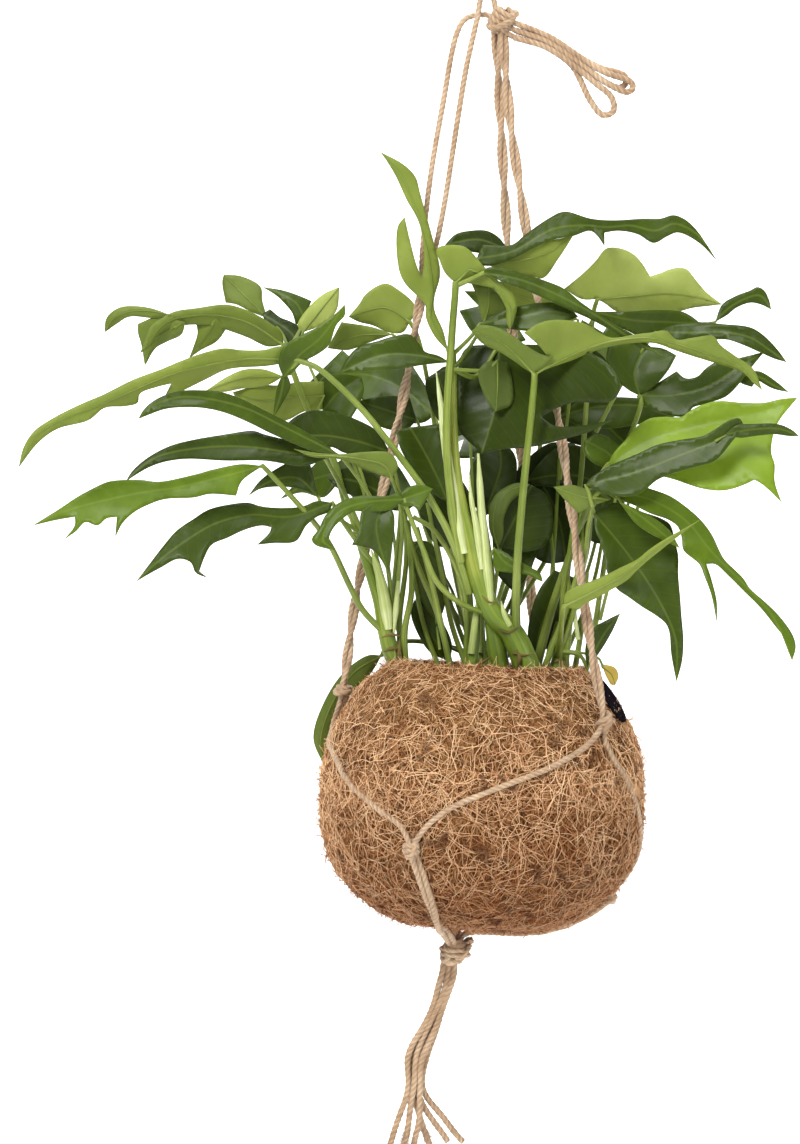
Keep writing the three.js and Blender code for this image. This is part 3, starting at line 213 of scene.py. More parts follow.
def coated(material, base, height, strength, distance):
    """The material with its colour and its fine relief."""
    tree = material.node_tree
    bump = out(tree, "ShaderNodeBump", {"Height": height, "Strength": strength, "Distance": distance})
    shader = tree.nodes["Principled BSDF"]
    tree.links.new(base.socket, shader.inputs["Base Color"])
    tree.links.new(bump.socket, shader.inputs["Normal"])
    return material


def streaked(place, along, across, turn):
    """A pattern's place, drawn out along one direction that the turn sets."""
    faced = out(place.tree, "ShaderNodeMapping", {"Vector": place, "Rotation": turn})
    return out(place.tree, "ShaderNodeMapping", {"Vector": faced, "Scale": (along, across, across)})


def object_place(tree):
    return out(tree, "ShaderNodeTexCoord", output="Object")


def told(tree, name):
    return out(tree, "ShaderNodeAttribute", output="Fac", attribute_name=name)


def jute_finish():
    """Pale tan twine: fibres along the plies, with painted shade in the grooves between them."""
    material, tree = finish_of("jute_twine", 0.92, Sheen_Weight=0.25, Sheen_Roughness=0.5)
    place = object_place(tree)
    around = told(tree, "around") * 16.0
    along = told(tree, "along") * 140.0
    lay = out(tree, "ShaderNodeCombineXYZ", {0: around, 1: along, 2: place.grain(9.0)})
    fibres = lay.grain(1.0, 4.0, 0.7)
    hue = fibres * 0.62 + place.grain(55.0, 4.0) * 0.5
    base = ramp(hue, (0.3, 104, 77, 52), (0.44, 160, 128, 97), (0.58, 198, 168, 135), (0.78, 228, 206, 176))
    # painted shade: darker colour in the grooves between the plies
    base = mixed(told(tree, "groove_shade") * 0.5, base, (104, 78, 52))
    return coated(material, base, fibres, 0.6, 0.0004)


def low_shade_share(place):
    """How far down the ball a point lies, for painted shade that darkens the husk towards its bottom."""
    height = out(place.tree, "ShaderNodeSeparateXYZ", {0: place}, 2)
    return height.line(-12.0, -5.3, clamp=True) * 0.62


# turn, sharpness and colour of each layer of winding lines; the near-black layers are painted shadow lines
# between fibres, the tan ones the fibres' own colour
HUSK_AND_SHADOW_LINES = [
    ((0.2, 0.3, 0.5), 7.0, (40, 20, 8)), ((0.1, 1.9, 0.2), 8.0, (138, 92, 50)),
    ((0.4, 2.7, 0.3), 9.0, (158, 112, 66)), ((0.3, 1.1, 0.6), 7.0, (52, 27, 11)),
    ((0.2, 2.3, 0.4), 10.0, (148, 102, 58)), ((0.5, 0.7, 0.1), 8.0, (66, 36, 16)),
    ((0.1, 1.5, 0.3), 11.0, (196, 152, 102)),
]
STREAK_TURNS = [(0.3, 0.2, 0.5), (1.2, 0.6, 1.9), (0.7, 1.5, 2.8)]


def husk_and_shadow_lines(place, base):
    """Curly husk fibres as long winding lines, with painted shadow lines among them, the later layers over
    the earlier.
    """
    height = None
    for turn, sharpness, colour in HUSK_AND_SHADOW_LINES:
        winding = streaked(place, 95.0, 400.0, turn).grain(1.0, 1.0, 0.5, 1.1)
        line = (winding - 0.5).size().line(-sharpness, 1.0, clamp=True)
        base = mixed(line * 0.8, base, colour)
        height = height.most(line) if height else line
    return base, height


def coir_skin_finish():
    """Pressed husk: crossing streaks over mottled brown, winding fibre lines with painted shadow lines
    among them, dark chips, and painted shade towards the bottom.
    """
    material, tree = finish_of("coir_skin", 0.95, Specular_IOR_Level=0.15)
    place = object_place(tree)
    bent = mixed(0.012, place, out(tree, "ShaderNodeTexNoise", {"Vector": place, "Scale": 40.0}, 1))
    streaks = None
    for turn in STREAK_TURNS:
        layer = streaked(bent, 90.0, 1100.0, turn).grain(1.0, 2.0, 0.6)
        streaks = streaks.most(layer) if streaks else layer
    hue = streaks * 0.62 + place.grain(34.0, 6.0, 0.65) * 0.42
    base = ramp(hue, (0.4, 30, 15, 6), (0.5, 70, 40, 18), (0.59, 112, 72, 38), (0.72, 156, 110, 64))
    base, lines = husk_and_shadow_lines(place, base)
    flat = out(tree, "ShaderNodeMapping", {"Vector": place, "Scale": (120.0, 120.0, 200.0)})
    base = mixed(mask(flat.grain(1.0, 2.0, 0.5, 0.8), 0.66, 0.7) * 0.75, base, (82, 42, 32))
    # painted shade: the husk darker towards the bottom of the ball
    base = mixed(low_shade_share(place), base, (70, 34, 13))
    return coated(material, base, streaks + lines, 1.0, 0.0009)


def coir_fibre_finish():
    """Loose husk fibres, each with its own brown, with painted shade making them darker towards the bottom
    of the ball.
    """
    material, tree = finish_of("coir_fibre", 0.85, Specular_IOR_Level=0.2)
    place = object_place(tree)
    fleck = place.grain(60.0, 3.0)
    hue = told(tree, "tone") * 0.75 + fleck * 0.25
    base = ramp(hue, (0.12, 66, 31, 14), (0.3, 142, 88, 51), (0.52, 202, 148, 99), (0.84, 252, 214, 168))
    # painted shade: the fibres darker towards the bottom of the ball
    base = mixed(low_shade_share(place), base, (126, 64, 20))
    base = mixed(mask(place.grain(95.0, 1.5, 0.5, 0.6), 0.63, 0.69) * 0.7, base, (84, 42, 26))
    return coated(material, base, fleck, 0.2, 0.0003)


def leaf_finish(name, roughness, vein_colour, *stops):
    """A blade's face: tone from its shade attribute, partly the leaf's own green and partly painted shade
    and light, side veins and midrib drawn from the leaf map.
    """
    material, tree = finish_of(name, roughness, Specular_IOR_Level=0.2)
    place = object_place(tree)
    parts = node(tree, "ShaderNodeSeparateXYZ", {0: out(tree, "ShaderNodeUVMap", uv_map="leaf_map")})
    along = Value(tree, parts.outputs[0]) * LEAF_MAP_SPAN
    off = Value(tree, parts.outputs[1]).line(LEAF_MAP_SPAN, -LEAF_MAP_SPAN / 2).size()
    slant = along - off * 0.75 + place.grain(60.0, 2.0) * 3.0
    side = ((slant * 0.13).math("FRACT") - 0.5).size().line(-16.0, 1.0, clamp=True)
    veins = (side * 0.22).most(off.line(-1.0, 0.95, clamp=True))
    mottle = place.grain(90.0, 4.0)
    broad = place.grain(22.0, 2.0)
    hue = told(tree, "shade") + (mottle - 0.5) * 0.22
    hue = hue.math("ADD", (broad - 0.5) * 0.45, clamp=True)
    base = mixed(veins * 0.3, ramp(hue, *stops), vein_colour)
    return coated(material, base, veins * -0.5 + mottle * 0.25, 0.12, 0.0003)


def stalk_finish(name, roughness, *stops):
    """Stalks: fine lines along them over a slow change of green."""
    material, tree = finish_of(name, roughness, Specular_IOR_Level=0.35)
    around = told(tree, "around") * 26.0
    streak = out(tree, "ShaderNodeCombineXYZ", {0: around, 1: told(tree, "along") * 14.0}).grain(1.0, 3.0)
    hue = streak * 0.5 + object_place(tree).grain(26.0, 3.0) * 0.55
    return coated(material, ramp(hue, *stops), streak, 0.25, 0.0004)


def speckled_finish(name, roughness, gloss, scale, strength, distance, *stops):
    material, tree = finish_of(name, roughness, Specular_IOR_Level=gloss)
    speckle = object_place(tree).grain(scale, 5.0, 0.7)
    return coated(material, ramp(speckle, *stops), speckle, strength, distance)


JUTE = jute_finish()
COIR_SKIN = coir_skin_finish()
COIR_FIBRE = coir_fibre_finish()
LEAF_TOP = leaf_finish(
    "leaf_upper_side", 0.4, (118, 136, 56),
    (0.0, 38, 50, 6), (0.3, 54, 70, 9), (0.6, 77, 99, 15), (1.0, 120, 146, 34),
)
LEAF_UNDER = leaf_finish(
    "leaf_underside", 0.55, (84, 102, 40),
    (0.0, 74, 88, 32), (0.4, 100, 115, 42), (0.7, 122, 136, 54), (1.0, 150, 161, 84),
)
LEAF_YELLOW = leaf_finish("yellowed_leaf", 0.5, (176, 156, 74), (0.0, 166, 140, 52), (1.0, 208, 184, 96))
STALK = stalk_finish("leaf_stalk", 0.4, (0.3, 74, 92, 28), (0.52, 108, 124, 42), (0.72, 146, 158, 78))
SHEATH = stalk_finish("pale_sheath", 0.5, (0.3, 122, 140, 62), (0.5, 166, 178, 106), (0.7, 212, 218, 170))
CANE = stalk_finish("green_cane", 0.4, (0.3, 72, 92, 24), (0.5, 106, 126, 38), (0.7, 150, 156, 66))
SCAR = stalk_finish("brown_scar", 0.85, (0.3, 64, 52, 26), (0.5, 104, 88, 44), (0.75, 150, 136, 80))
SOIL = speckled_finish(
    "potting_mix", 0.95, 0.5, 260.0, 0.8, 0.002,
    (0.35, 28, 20, 15), (0.55, 64, 46, 34), (0.75, 116, 86, 60),
)
# the pale speckles are partly scuffs, partly painted highlights standing in for the plastic's reflection,
# which is set to none
TAG = speckled_finish(
    "black_plastic", 0.6, 0.0, 240.0, 0.1, 0.0003,
    (0.4, 20, 17, 20), (0.7, 34, 29, 34), (0.85, 70, 64, 70),
)

# Paths


def curved(points, per=10):
    """A centripetal Catmull-Rom line through the points, as the CAD tubes follow."""
    points = [Vector(p) for p in points]
    line = [points[0] * 2 - points[1]] + points + [points[-1] * 2 - points[-2]]
    result = []
    for a, b, c, d in zip(line, line[1:], line[2:], line[3:]):
        before, here, after = [max((q - p).length, 1e-9) ** 0.5 for p, q in ((a, b), (b, c), (c, d))]
        start = ((b - a) / before - (c - a) / (before + here) + (c - b) / here) * here
        stop = ((c - b) / here - (d - b) / (here + after) + (d - c) / after) * here
        for k in range(per):
            t = k / per
            result.append(
                b * (2 * t**3 - 3 * t**2 + 1) + start * (t**3 - 2 * t**2 + t)
                + c * (3 * t**2 - 2 * t**3) + stop * (t**3 - t**2)
            )
    return result + [points[-1].copy()]


def length_of(line):
    return sum((b - a).length for a, b in zip(line, line[1:]))


def even(line, step):
    """The same line with its points evenly spaced, about a step apart."""
    total = length_of(line)
    count = max(2, round(total / step))
    result = [line[0].copy()]
    walked = 0.0
    for a, b in zip(line, line[1:]):
        stretch = (b - a).length
        while len(result) < count and walked + stretch >= len(result) * total / count - 1e-12:
            if stretch < 1e-12:
                break
            result.append(a.lerp(b, (len(result) * total / count - walked) / stretch))
        walked += stretch
    return result[:count] + [line[-1].copy()]


def frames_along(line):
    """Two directions square to the line at each point, turning as little as they can."""
    ways = [(b - a).normalized() for a, b in zip(line, line[1:])]
    ways.append(ways[-1])
    side = ways[0].orthogonal().normalized()
    result = []
    for way in ways:
        side = (side - way * side.dot(way)).normalized()
        result.append((side, way.cross(side)))
    return result


def twined(line, turns, apart=STRANDS_APART):
    """Two strands that wind round each other along a line."""
    pair = []
    frames = frames_along(line)
    for phase in (0.0, math.pi):
        strand = []
        for i, (place, (side, other)) in enumerate(zip(line, frames)):
            angle = phase + 2 * math.pi * turns * i / (len(line) - 1)
            strand.append(place + (side * math.cos(angle) + other * math.sin(angle)) * apart / 2 * MM)
        pair.append(strand)
    return pair


# Pieces


def plain_object(name, mesh):
    made = bpy.data.objects.new(name, mesh)
    bpy.context.collection.objects.link(made)
    return made


def mesh_of(name, places, faces, *finishes):
    mesh = bpy.data.meshes.new(name)
    mesh.from_pydata([tuple(place) for place in places], [], faces)
    for finish in finishes:
        mesh.materials.append(finish)
    return mesh


def round_faces(rows, segments):
    """The faces of a round body: a fan at its first point, rings of quads, a fan at its last."""
    faces = [(0, 1 + (t + 1) % segments, 1 + t) for t in range(segments)]
    for k in range(rows - 1):
        row = 1 + k * segments
        for t in range(segments):
            after = (t + 1) % segments
            faces.append((row + t, row + after, row + segments + after, row + segments + t))
    row = 1 + (rows - 1) * segments
    return faces + [(row + t, row + (t + 1) % segments, row + segments) for t in range(segments)]


def turned_over(faces, first=0):
    """The same faces seen from their other side, for corners that count from first."""
    return [tuple(first + corner for corner in face[:1] + face[:0:-1]) for face in faces]


def line_source(name, lines, thickness=1.0):
    """Lines as bare edges, with how thick each is, for a node tree to grow tubes on."""
    places = []
    edges = []
    sizes = []
    for i, line in enumerate(lines):
        first = len(places)
        places += [tuple(p) for p in line]
        edges += [(first + k, first + k + 1) for k in range(len(line) - 1)]
        own = thickness[i] if isinstance(thickness, list) else thickness
        sizes += list(own) if isinstance(own, (list, tuple)) else [own] * len(line)
    mesh = bpy.data.meshes.new(name + "_lines")
    mesh.from_pydata(places, edges, [])
    mesh.attributes.new("thickness", "FLOAT", "POINT").data.foreach_set("value", sizes)
    return plain_object(name + "_lines", mesh)


def new_tree(name, **sockets):
    """A geometry node tree with named inputs, and those inputs as values."""
    tree = bpy.data.node_groups.new(name, "GeometryNodeTree")
    tree.interface.new_socket(name="Geometry", in_out="OUTPUT", socket_type="NodeSocketGeometry")
    for label, kind in [("Geometry", "Geometry")] + list(sockets.items()):
        tree.interface.new_socket(name=label, in_out="INPUT", socket_type="NodeSocket" + kind)
    given = tree.nodes.new("NodeGroupInput")
    return tree, {socket.name: Value(tree, socket) for socket in given.outputs}


def close_tree(geometry, finish):
    """Instances made real, the finish set, and out."""
    tree = geometry.tree
    real = out(tree, "GeometryNodeRealizeInstances", {"Geometry": geometry})
    worn = out(tree, "GeometryNodeSetMaterial", {"Geometry": real, "Material": finish})
    tree.links.new(worn.socket, tree.nodes.new("NodeGroupOutput").inputs[0])
    return tree


def grow(name, source, tree, **values):
    """A plain mesh object of what the tree makes from the source, which is removed."""
    modifier = source.modifiers.new("grown", "NODES")
    modifier.node_group = tree
    for item in tree.interface.items_tree:
        if item.in_out == "INPUT" and item.name in values:
            modifier[item.identifier] = values[item.name]
    evaluated = source.evaluated_get(bpy.context.evaluated_depsgraph_get())
    mesh = bpy.data.meshes.new_from_object(evaluated)
    source.modifiers.remove(modifier)
    bpy.data.objects.remove(source)
    mesh.name = name
    return plain_object(name, mesh)


def taken_in(made, stands_for=None):
    """A finished piece, fixed to the body, with the CAD piece it stands for hidden."""
    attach(made, "root")
    if stands_for:
        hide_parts(stands_for)
    return made


def stored(geometry, name, value):
    feeds = {"Geometry": geometry, "Name": name, "Value": value}
    return out(geometry.tree, "GeometryNodeStoreNamedAttribute", feeds, data_type="FLOAT", domain="POINT")


def named(tree, name):
    return out(tree, "GeometryNodeInputNamedAttribute", {"Name": name}, data_type="FLOAT")


def random_number(tree, low, high, seed):
    return out(tree, "FunctionNodeRandomValue", {"Seed": seed, 2: low, 3: high}, 1, data_type="FLOAT")


def random_vector(tree, low, high, seed):
    return out(tree, "FunctionNodeRandomValue", {"Seed": seed, 0: low, 1: high}, data_type="FLOAT_VECTOR")


def times(vector, factor):
    """A vector made longer or shorter, where the factor is a value."""
    return out(factor.tree, "ShaderNodeVectorMath", {0: vector, "Scale": factor}, operation="SCALE")


def circle(tree, sides, radius):
    return out(tree, "GeometryNodeCurvePrimitiveCircle", {"Resolution": sides, "Radius": radius})


def swept(line, ring, scale):
    """A closed tube of the ring along the line."""
    feeds = {"Curve": line, "Profile Curve": ring, "Scale": scale, "Fill Caps": True}
    return out(line.tree, "GeometryNodeCurveToMesh", feeds)


def thin_swept(line, ring):
    return out(line.tree, "GeometryNodeCurveToMesh", {"Curve": line, "Profile Curve": ring})


def strewn_spots(mesh, density, seed):
    """Points strewn over a mesh, and how each is turned to face outwards."""
    feeds = {"Mesh": mesh, "Density": density, "Seed": seed}
    spots = node(mesh.tree, "GeometryNodeDistributePointsOnFaces", feeds)
    return Value(mesh.tree, spots.outputs[0]), Value(mesh.tree, spots.outputs["Rotation"])


def turned(rotation, low, high, seed):
    """A rotation with a random turn of its own added."""
    feeds = {"Rotation": rotation, "Rotate By": random_vector(rotation.tree, low, high, seed)}
    return out(rotation.tree, "FunctionNodeRotateRotation", feeds, rotation_space="LOCAL")


def placed_on(points, instance, rotation, scale):
    feeds = {"Points": points, "Instance": instance, "Rotation": rotation, "Scale": scale}
    return out(points.tree, "GeometryNodeInstanceOnPoints", feeds)


def joined(first, second):
    tree = first.tree
    both = node(tree, "GeometryNodeJoinGeometry")
    tree.links.new(first.socket, both.inputs[0])
    tree.links.new(second.socket, both.inputs[0])
    return Value(tree, both.outputs[0])


def twine_tree():
    """Three plies swept along a line and turned as they go, with short hairs standing off them."""
    tree, given = new_tree(
        "jute_twine", Diameter="Float", Pitch="Float", Step="Float", Hairs="Float", Hair_length="Float",
        Seed="Int", Finish="Material",
    )
    line = out(tree, "GeometryNodeMeshToCurve", {0: given["Geometry"]})
    line = out(tree, "GeometryNodeResampleCurve", {"Curve": line, "Length": given["Step"]}, mode="LENGTH")
    walked = out(tree, "GeometryNodeSplineParameter", output="Length")
    line = stored(line, "along", walked)
    turn = (walked * (2 * math.pi)).math("DIVIDE", given["Pitch"])
    line = out(tree, "GeometryNodeSetCurveTilt", {"Curve": line, "Tilt": turn})
    ring = circle(tree, TWINE_SIDES, given["Diameter"] * RING_SHARE)
    share = out(tree, "GeometryNodeInputIndex").math("DIVIDE", float(TWINE_SIDES))
    ring = stored(ring, "around", share)
    lobe = (share * (PLIES * 2 * math.pi)).math("COSINE")
    # share of painted shade: 1 in the grooves between the plies, 0 on their crowns
    ring = stored(ring, "groove_shade", lobe.line(-0.5, 0.5))
    grown = times(out(tree, "GeometryNodeInputPosition"), lobe.line(LOBE_SWELL, 1.0))
    ring = out(tree, "GeometryNodeSetPosition", {"Geometry": ring, "Position": grown})
    body = swept(line, ring, named(tree, "thickness"))
    points, facing = strewn_spots(body, given["Hairs"], given["Seed"])
    long = given["Hair_length"]
    bow = out(tree, "GeometryNodeCurveQuadraticBezier", {
        "Resolution": 3, "Start": (0, 0, 0), "Middle": times((0.1, 0.15, 0.7), long),
        "End": times((0.7, 0.1, 0.75), long),
    })
    hair = thin_swept(bow, circle(tree, 3, HAIR_RADIUS * MM))
    facing = turned(facing, (-0.5, -0.5, -math.pi), (0.5, 0.5, math.pi), 3)
    hairs = placed_on(points, hair, facing, random_number(tree, 0.35, 1.0, 5))
    return close_tree(joined(hairs, body), given["Finish"])


def stalk_tree():
    """Round stalks swept along lines at their own thickness."""
    tree, given = new_tree("leaf_stalks", Sides="Int", Finish="Material")
    line = out(tree, "GeometryNodeMeshToCurve", {0: given["Geometry"]})
    line = stored(line, "along", out(tree, "GeometryNodeSplineParameter", output="Length"))
    ring = circle(tree, given["Sides"], MM / 2)
    ring = stored(ring, "around", out(tree, "GeometryNodeInputIndex").math("DIVIDE", given["Sides"]))
    return close_tree(swept(line, ring, named(tree, "thickness")), given["Finish"])


def fibre_tree():
    """Bent fibres laid every way over a skin, each lifted a little, its ends more."""
    tree, given = new_tree(
        "coir_fibres", Density="Float", Length="Float", Thickness="Float", Lift="Float", Bend="Float",
        Seed="Int", Steps="Int", Finish="Material",
    )
    skin = given["Geometry"]
    points, facing = strewn_spots(skin, given["Density"], given["Seed"])
    points = stored(points, "tone", random_number(tree, 0.0, 1.0, 11))
    points = stored(points, "free", random_number(tree, 0.0, 1.0, 12))
    half = given["Length"] * 0.5
    ends = {
        "Start": out(tree, "ShaderNodeCombineXYZ", {0: half * -1.0}),
        "End": out(tree, "ShaderNodeCombineXYZ", {0: half}),
    }
    straight = out(tree, "GeometryNodeCurvePrimitiveLine", ends)
    straight = out(tree, "GeometryNodeResampleCurve", {"Curve": straight, "Count": given["Steps"]})
    facing = turned(facing, (0, 0, -math.pi), (0, 0, math.pi), 7)
    laid = placed_on(points, straight, facing, random_number(tree, 0.4, 1.0, 9))
    laid = out(tree, "GeometryNodeRealizeInstances", {0: laid})
    tone = named(tree, "tone")
    place = out(tree, "GeometryNodeInputPosition")
    drift = out(tree, "ShaderNodeVectorMath", {0: place, "Scale": 45.0}, operation="SCALE")
    own = out(tree, "ShaderNodeCombineXYZ", {2: tone * 60.0})
    drift = out(tree, "ShaderNodeVectorMath", {0: drift, 1: own}, operation="ADD")
    swirl = out(tree, "ShaderNodeTexNoise", {"Vector": drift, "Scale": 1.0, "Detail": 1.0}, 1)
    swirl = out(tree, "ShaderNodeVectorMath", {0: swirl, 1: (0.5, 0.5, 0.5)}, operation="SUBTRACT")
    laid = out(tree, "GeometryNodeSetPosition", {"Geometry": laid, "Offset": times(swirl, given["Bend"])})
    near = out(tree, "GeometryNodeProximity", {0: skin}, target_element="FACES")
    outward = node(tree, "GeometryNodeSampleNearestSurface", {"Mesh": skin}, data_type="FLOAT_VECTOR")
    tree.links.new(node(tree, "GeometryNodeInputNormal").outputs[0], outward.inputs["Value"])
    share = out(tree, "GeometryNodeSplineParameter", output="Factor")
    tips = share.line(2.0, -1.0).size().math("POWER", 4.0)
    free = named(tree, "free").math("POWER", 3.0)
    up = (tips * free * 2.4 + tone * 0.8) * given["Lift"]
    offset = times(Value(tree, outward.outputs["Value"]), up)
    laid = out(tree, "GeometryNodeSetPosition", {"Geometry": laid, "Position": near, "Offset": offset})
    return close_tree(thin_swept(laid, circle(tree, 3, given["Thickness"])), given["Finish"])


def crumb_tree():
    """Small lumps strewn over a surface."""
    tree, given = new_tree("soil_crumbs", Density="Float", Size="Float", Seed="Int", Finish="Material")
    points, facing = strewn_spots(given["Geometry"], given["Density"], given["Seed"])
    lump = out(tree, "GeometryNodeMeshIcoSphere", {"Radius": given["Size"], "Subdivisions": 1})
    crumbs = placed_on(points, lump, facing, random_vector(tree, (0.4, 0.4, 0.3), (1.3, 1.0, 0.8), 4))
    return close_tree(joined(crumbs, given["Geometry"]), given["Finish"])


TWINE = twine_tree()
STALKS = stalk_tree()
FIBRES = fibre_tree()
CRUMBS = crumb_tree()


def twine(name, lines, hairs=9000.0, thickness=1.0, seed=1):
    source = line_source(name, lines, thickness)
    return grow(
        name, source, TWINE, Diameter=STRAND * MM, Pitch=TWIST_PITCH * MM, Step=TWINE_STEP * MM,
        Hairs=hairs, Hair_length=HAIR_LENGTH * MM, Seed=seed, Finish=JUTE,
    )


# The free cords: three doubled ends beside the top knot, six strand ends under the bottom knot

FREE_FULLNESS = 1.12
BIGHT_MIDDLE = [(16, -21), (35, -27.5), (53, -39.8), (66, -47.4), (80, -53)]
GATHERED = 0.78
CORD_STEP = 1.2
SWAY_WAVE = 46.0
SWAY_FADE = 12.0
FRAY_THICKNESS = 0.16
FREE_BIGHTS = {
    "jute_bight_upper": [
        (17.7, -1.7, -17.2), (36, -1.7, -23.8), (54, -1.7, -35.6), (67, -1.7, -44.6), (77, -1.7, -48),
        (82, -1.7, -50.2), (83.2, -1.7, -53.6), (80.4, -1.7, -56), (75.4, -1.7, -54.6),
        (66, -1.7, -49.3), (53, -1.7, -39.6), (35, -1.7, -27.5), (16.5, -1.7, -20.9),
    ],
    "jute_bight_middle": [
        (17.7, 2, -17.2), (36, 2, -23.8), (54, 2, -35.6), (66, 2, -42.6), (74, 2.5, -44.6),
        (78.6, 2.5, -46.8), (79.2, 2.5, -51), (75.4, 2.5, -53.4), (70, 2.5, -51.6), (63, 2, -47.4),
        (53, 2, -39.6), (35, 2, -27.5), (16.5, 2, -20.9),
    ],
    "jute_bight_lower": [
        (15.2, -1.8, -24.7), (34, -1.8, -31.4), (51, -1.8, -43), (62, -1.4, -51), (71, -1, -59),
        (72, 0.5, -67), (66, 1, -69), (59, 1.5, -61), (52.5, 1.9, -50), (48, 2, -41.5),
        (34, 2, -31.4), (15.2, 2, -24.7),
    ],
}
TAIL_ENDS = [
    (-24.8, -2, -46, -56, -9), (-20.8, -2, -41, -48, -6), (-16.8, -2, -36, -42, -3),
    (-24.8, 2, -43.5, -32, 6), (-20.8, 2, -38.5, -22.5, 8), (-16.8, 2, -33.5, -14, 11),
]
TAILS_TOP = -20.8  # the middle of the bundle where it leaves the knot, and halfway down
TAILS_MIDDLE = -39.75
FRAYED = {0: 26, 1: 110, 2: 40, 3: 130, 4: 18, 5: 18}


def bight_route(points):
    """The way of one doubled end, drawn in to the middle of the bundle where the three lie together."""
    route = []
    for across, depth, up in points:
        middle = height_at(BIGHT_MIDDLE, across)
        share = GATHERED if 20 < across < 56 else 1.0
        route.append(at_root(across, depth * share, middle + (up - middle) * share))
    return route


def height_at(points, across):
    """The height of a bent line above a place on it."""
    for (x0, z0), (x1, z1) in zip(points, points[1:]):
        if across <= x1:
            return z0 + (z1 - z0) * (across - x0) / (x1 - x0)
    return points[-1][1]


def tail_route(number):
    """The way of one strand end, from the bottom knot down."""
    top, depth, middle, end, end_depth = TAIL_ENDS[number]
    end_up = -264 if number > 3 else -268
    top = TAILS_TOP + (top - TAILS_TOP) * GATHERED
    middle = TAILS_MIDDLE + (middle - TAILS_MIDDLE) * GATHERED
    depth *= GATHERED
    return [
        seen(top - 1, -162.5, depth * 1.1), seen(top - 1.2, -167, depth * 1.1),
        seen(top - 4, -178, depth * 1.1), seen((top + middle) / 2 - 1, -196, depth * 1.15),
        seen(middle, -216, depth * 1.25), seen(middle - 1, -234, depth * 1.5),
        seen((middle + end) / 2, -252, (depth + end_depth) / 2), seen(end, end_up, end_depth),
    ]


def frayed_end(name, line, count, seed):
    """Loose fibres that stand on at the end of a strand."""
    draw = random.Random(seed)
    tip = line[-1]
    way = (line[-1] - line[-4]).normalized()
    side, other = frames_along(line[-4:])[-1]
    hairs = []
    for _ in range(count):
        angle = draw.uniform(0, 2 * math.pi)
        outward = side * math.cos(angle) + other * math.sin(angle)
        reach = draw.uniform(2.0, 8.0 + count / 30) * MM
        flare = draw.uniform(0.2, 1.0 + count / 60) * MM
        start = tip - way * draw.uniform(1.0, 5.0 + count / 10) * MM + outward * draw.uniform(0.4, 1.3) * MM
        middle = start + way * reach * 0.6 + outward * flare
        end = middle + way * reach * 0.6 + outward * flare * 1.2
        hairs.append(even(curved([start, middle, end], 3), 0.0015))
    made = grow(name, line_source(name, hairs, FRAY_THICKNESS), STALKS, Sides=3, Finish=JUTE)
    return taken_in(made)


def swayed(line, phase, amount):
    """A strand's own slow winding about its route, none at its two ends."""
    moved = []
    total = length_of(line)
    walked = 0.0
    for i, (place, (side, other)) in enumerate(zip(line, frames_along(line))):
        if i:
            walked += (place - line[i - 1]).length
        fade = min(1.0, walked / (SWAY_FADE * MM), (total - walked) / (SWAY_FADE * MM))
        angle = phase + 2 * math.pi * walked / (SWAY_WAVE * MM)
        moved.append(place + (side * math.cos(angle) + other * math.sin(angle)) * amount * MM * fade)
    return moved


def free_cord(name, route, phase=0.0, amount=0.9):
    line = swayed(even(curved(route, 16), CORD_STEP * MM), phase, amount)
    seed = len(name) + len(route)
    made = twine(name.replace("jute", "twine"), [line], thickness=FREE_FULLNESS, seed=seed)
    taken_in(made, name)
    length_of(line)


for cord_name, points in FREE_BIGHTS.items():
    free_cord(cord_name, bight_route(points), amount=0.0)
for number in range(len(TAIL_ENDS)):
    route = tail_route(number)
    whole = even(curved(route, 16), CORD_STEP * MM)
    loose = frayed_end("frayed_end_%d" % (number + 1), whole, FRAYED[number], 40 + number)
    free_cord("jute_end_%d" % (number + 1), route, 1.9 * number, 0.6)

# The coir ball, its fibres and the soil in it

OUTER_PROFILE = [
    (0, -70.5), (34, -70.5), (54.2, -65.5), (70.2, -53.5), (80.5, -42), (88.2, -26), (90.9, 0),
    (89.5, 19.4), (83.5, 41.6), (71.2, 62), (58.7, 72.8), (55.5, 76), (53.5, 76.5),
]
INNER_PROFILE = [(52, 74), (52.5, 66), (74, 45), (84, 8), (82, -24), (63, -52), (34, -63.5), (0, -63.5)]
BALL_SEGMENTS = 220
SKIN_STEP = 1.9
RIM_HEIGHT = 71.0
SOIL_TOP = 65.0
SOIL_UNDERSIDE = 58.0
SOIL_RADIUS = 55.0


def ball_mesh():
    """The husk shell turned from its profile, its outside lumpy and rough."""
    outer = even(curved([(r, 0, z) for r, z in OUTER_PROFILE], 12), SKIN_STEP)
    inner = even([Vector((r, 0, z)) for r, z in [OUTER_PROFILE[-1]] + INNER_PROFILE], 6.0)[1:]
    profile = outer[1:] + inner[:-1]
    places = [BALL_TO_ROOT @ outer[0]]
    for k, point in enumerate(profile):
        rough = min(1.0, (len(outer) - k) / 6) if k < len(outer) else 0.0
        for turn in range(BALL_SEGMENTS):
            angle = 2 * math.pi * turn / BALL_SEGMENTS
            place = Vector((point.x * math.cos(angle), point.x * math.sin(angle), point.z))
            if rough > 0:
                lump = 1.5 * noise.noise(place / 21) + 0.7 * noise.noise(place / 6.5)
                lump += 0.5 * noise.noise(place / 2.4)
                place += place.normalized() * lump * rough
            places.append(BALL_TO_ROOT @ place)
    places.append(BALL_TO_ROOT @ inner[-1])
    faces = round_faces(len(profile), BALL_SEGMENTS)
    mesh = mesh_of("coir_ball_skin", [place * MM for place in places], faces, COIR_SKIN)
    mesh.shade_smooth()
    return mesh, len(outer)


skin_mesh, skin_rows = ball_mesh()
FIRST_INNER = 1 + skin_rows * BALL_SEGMENTS


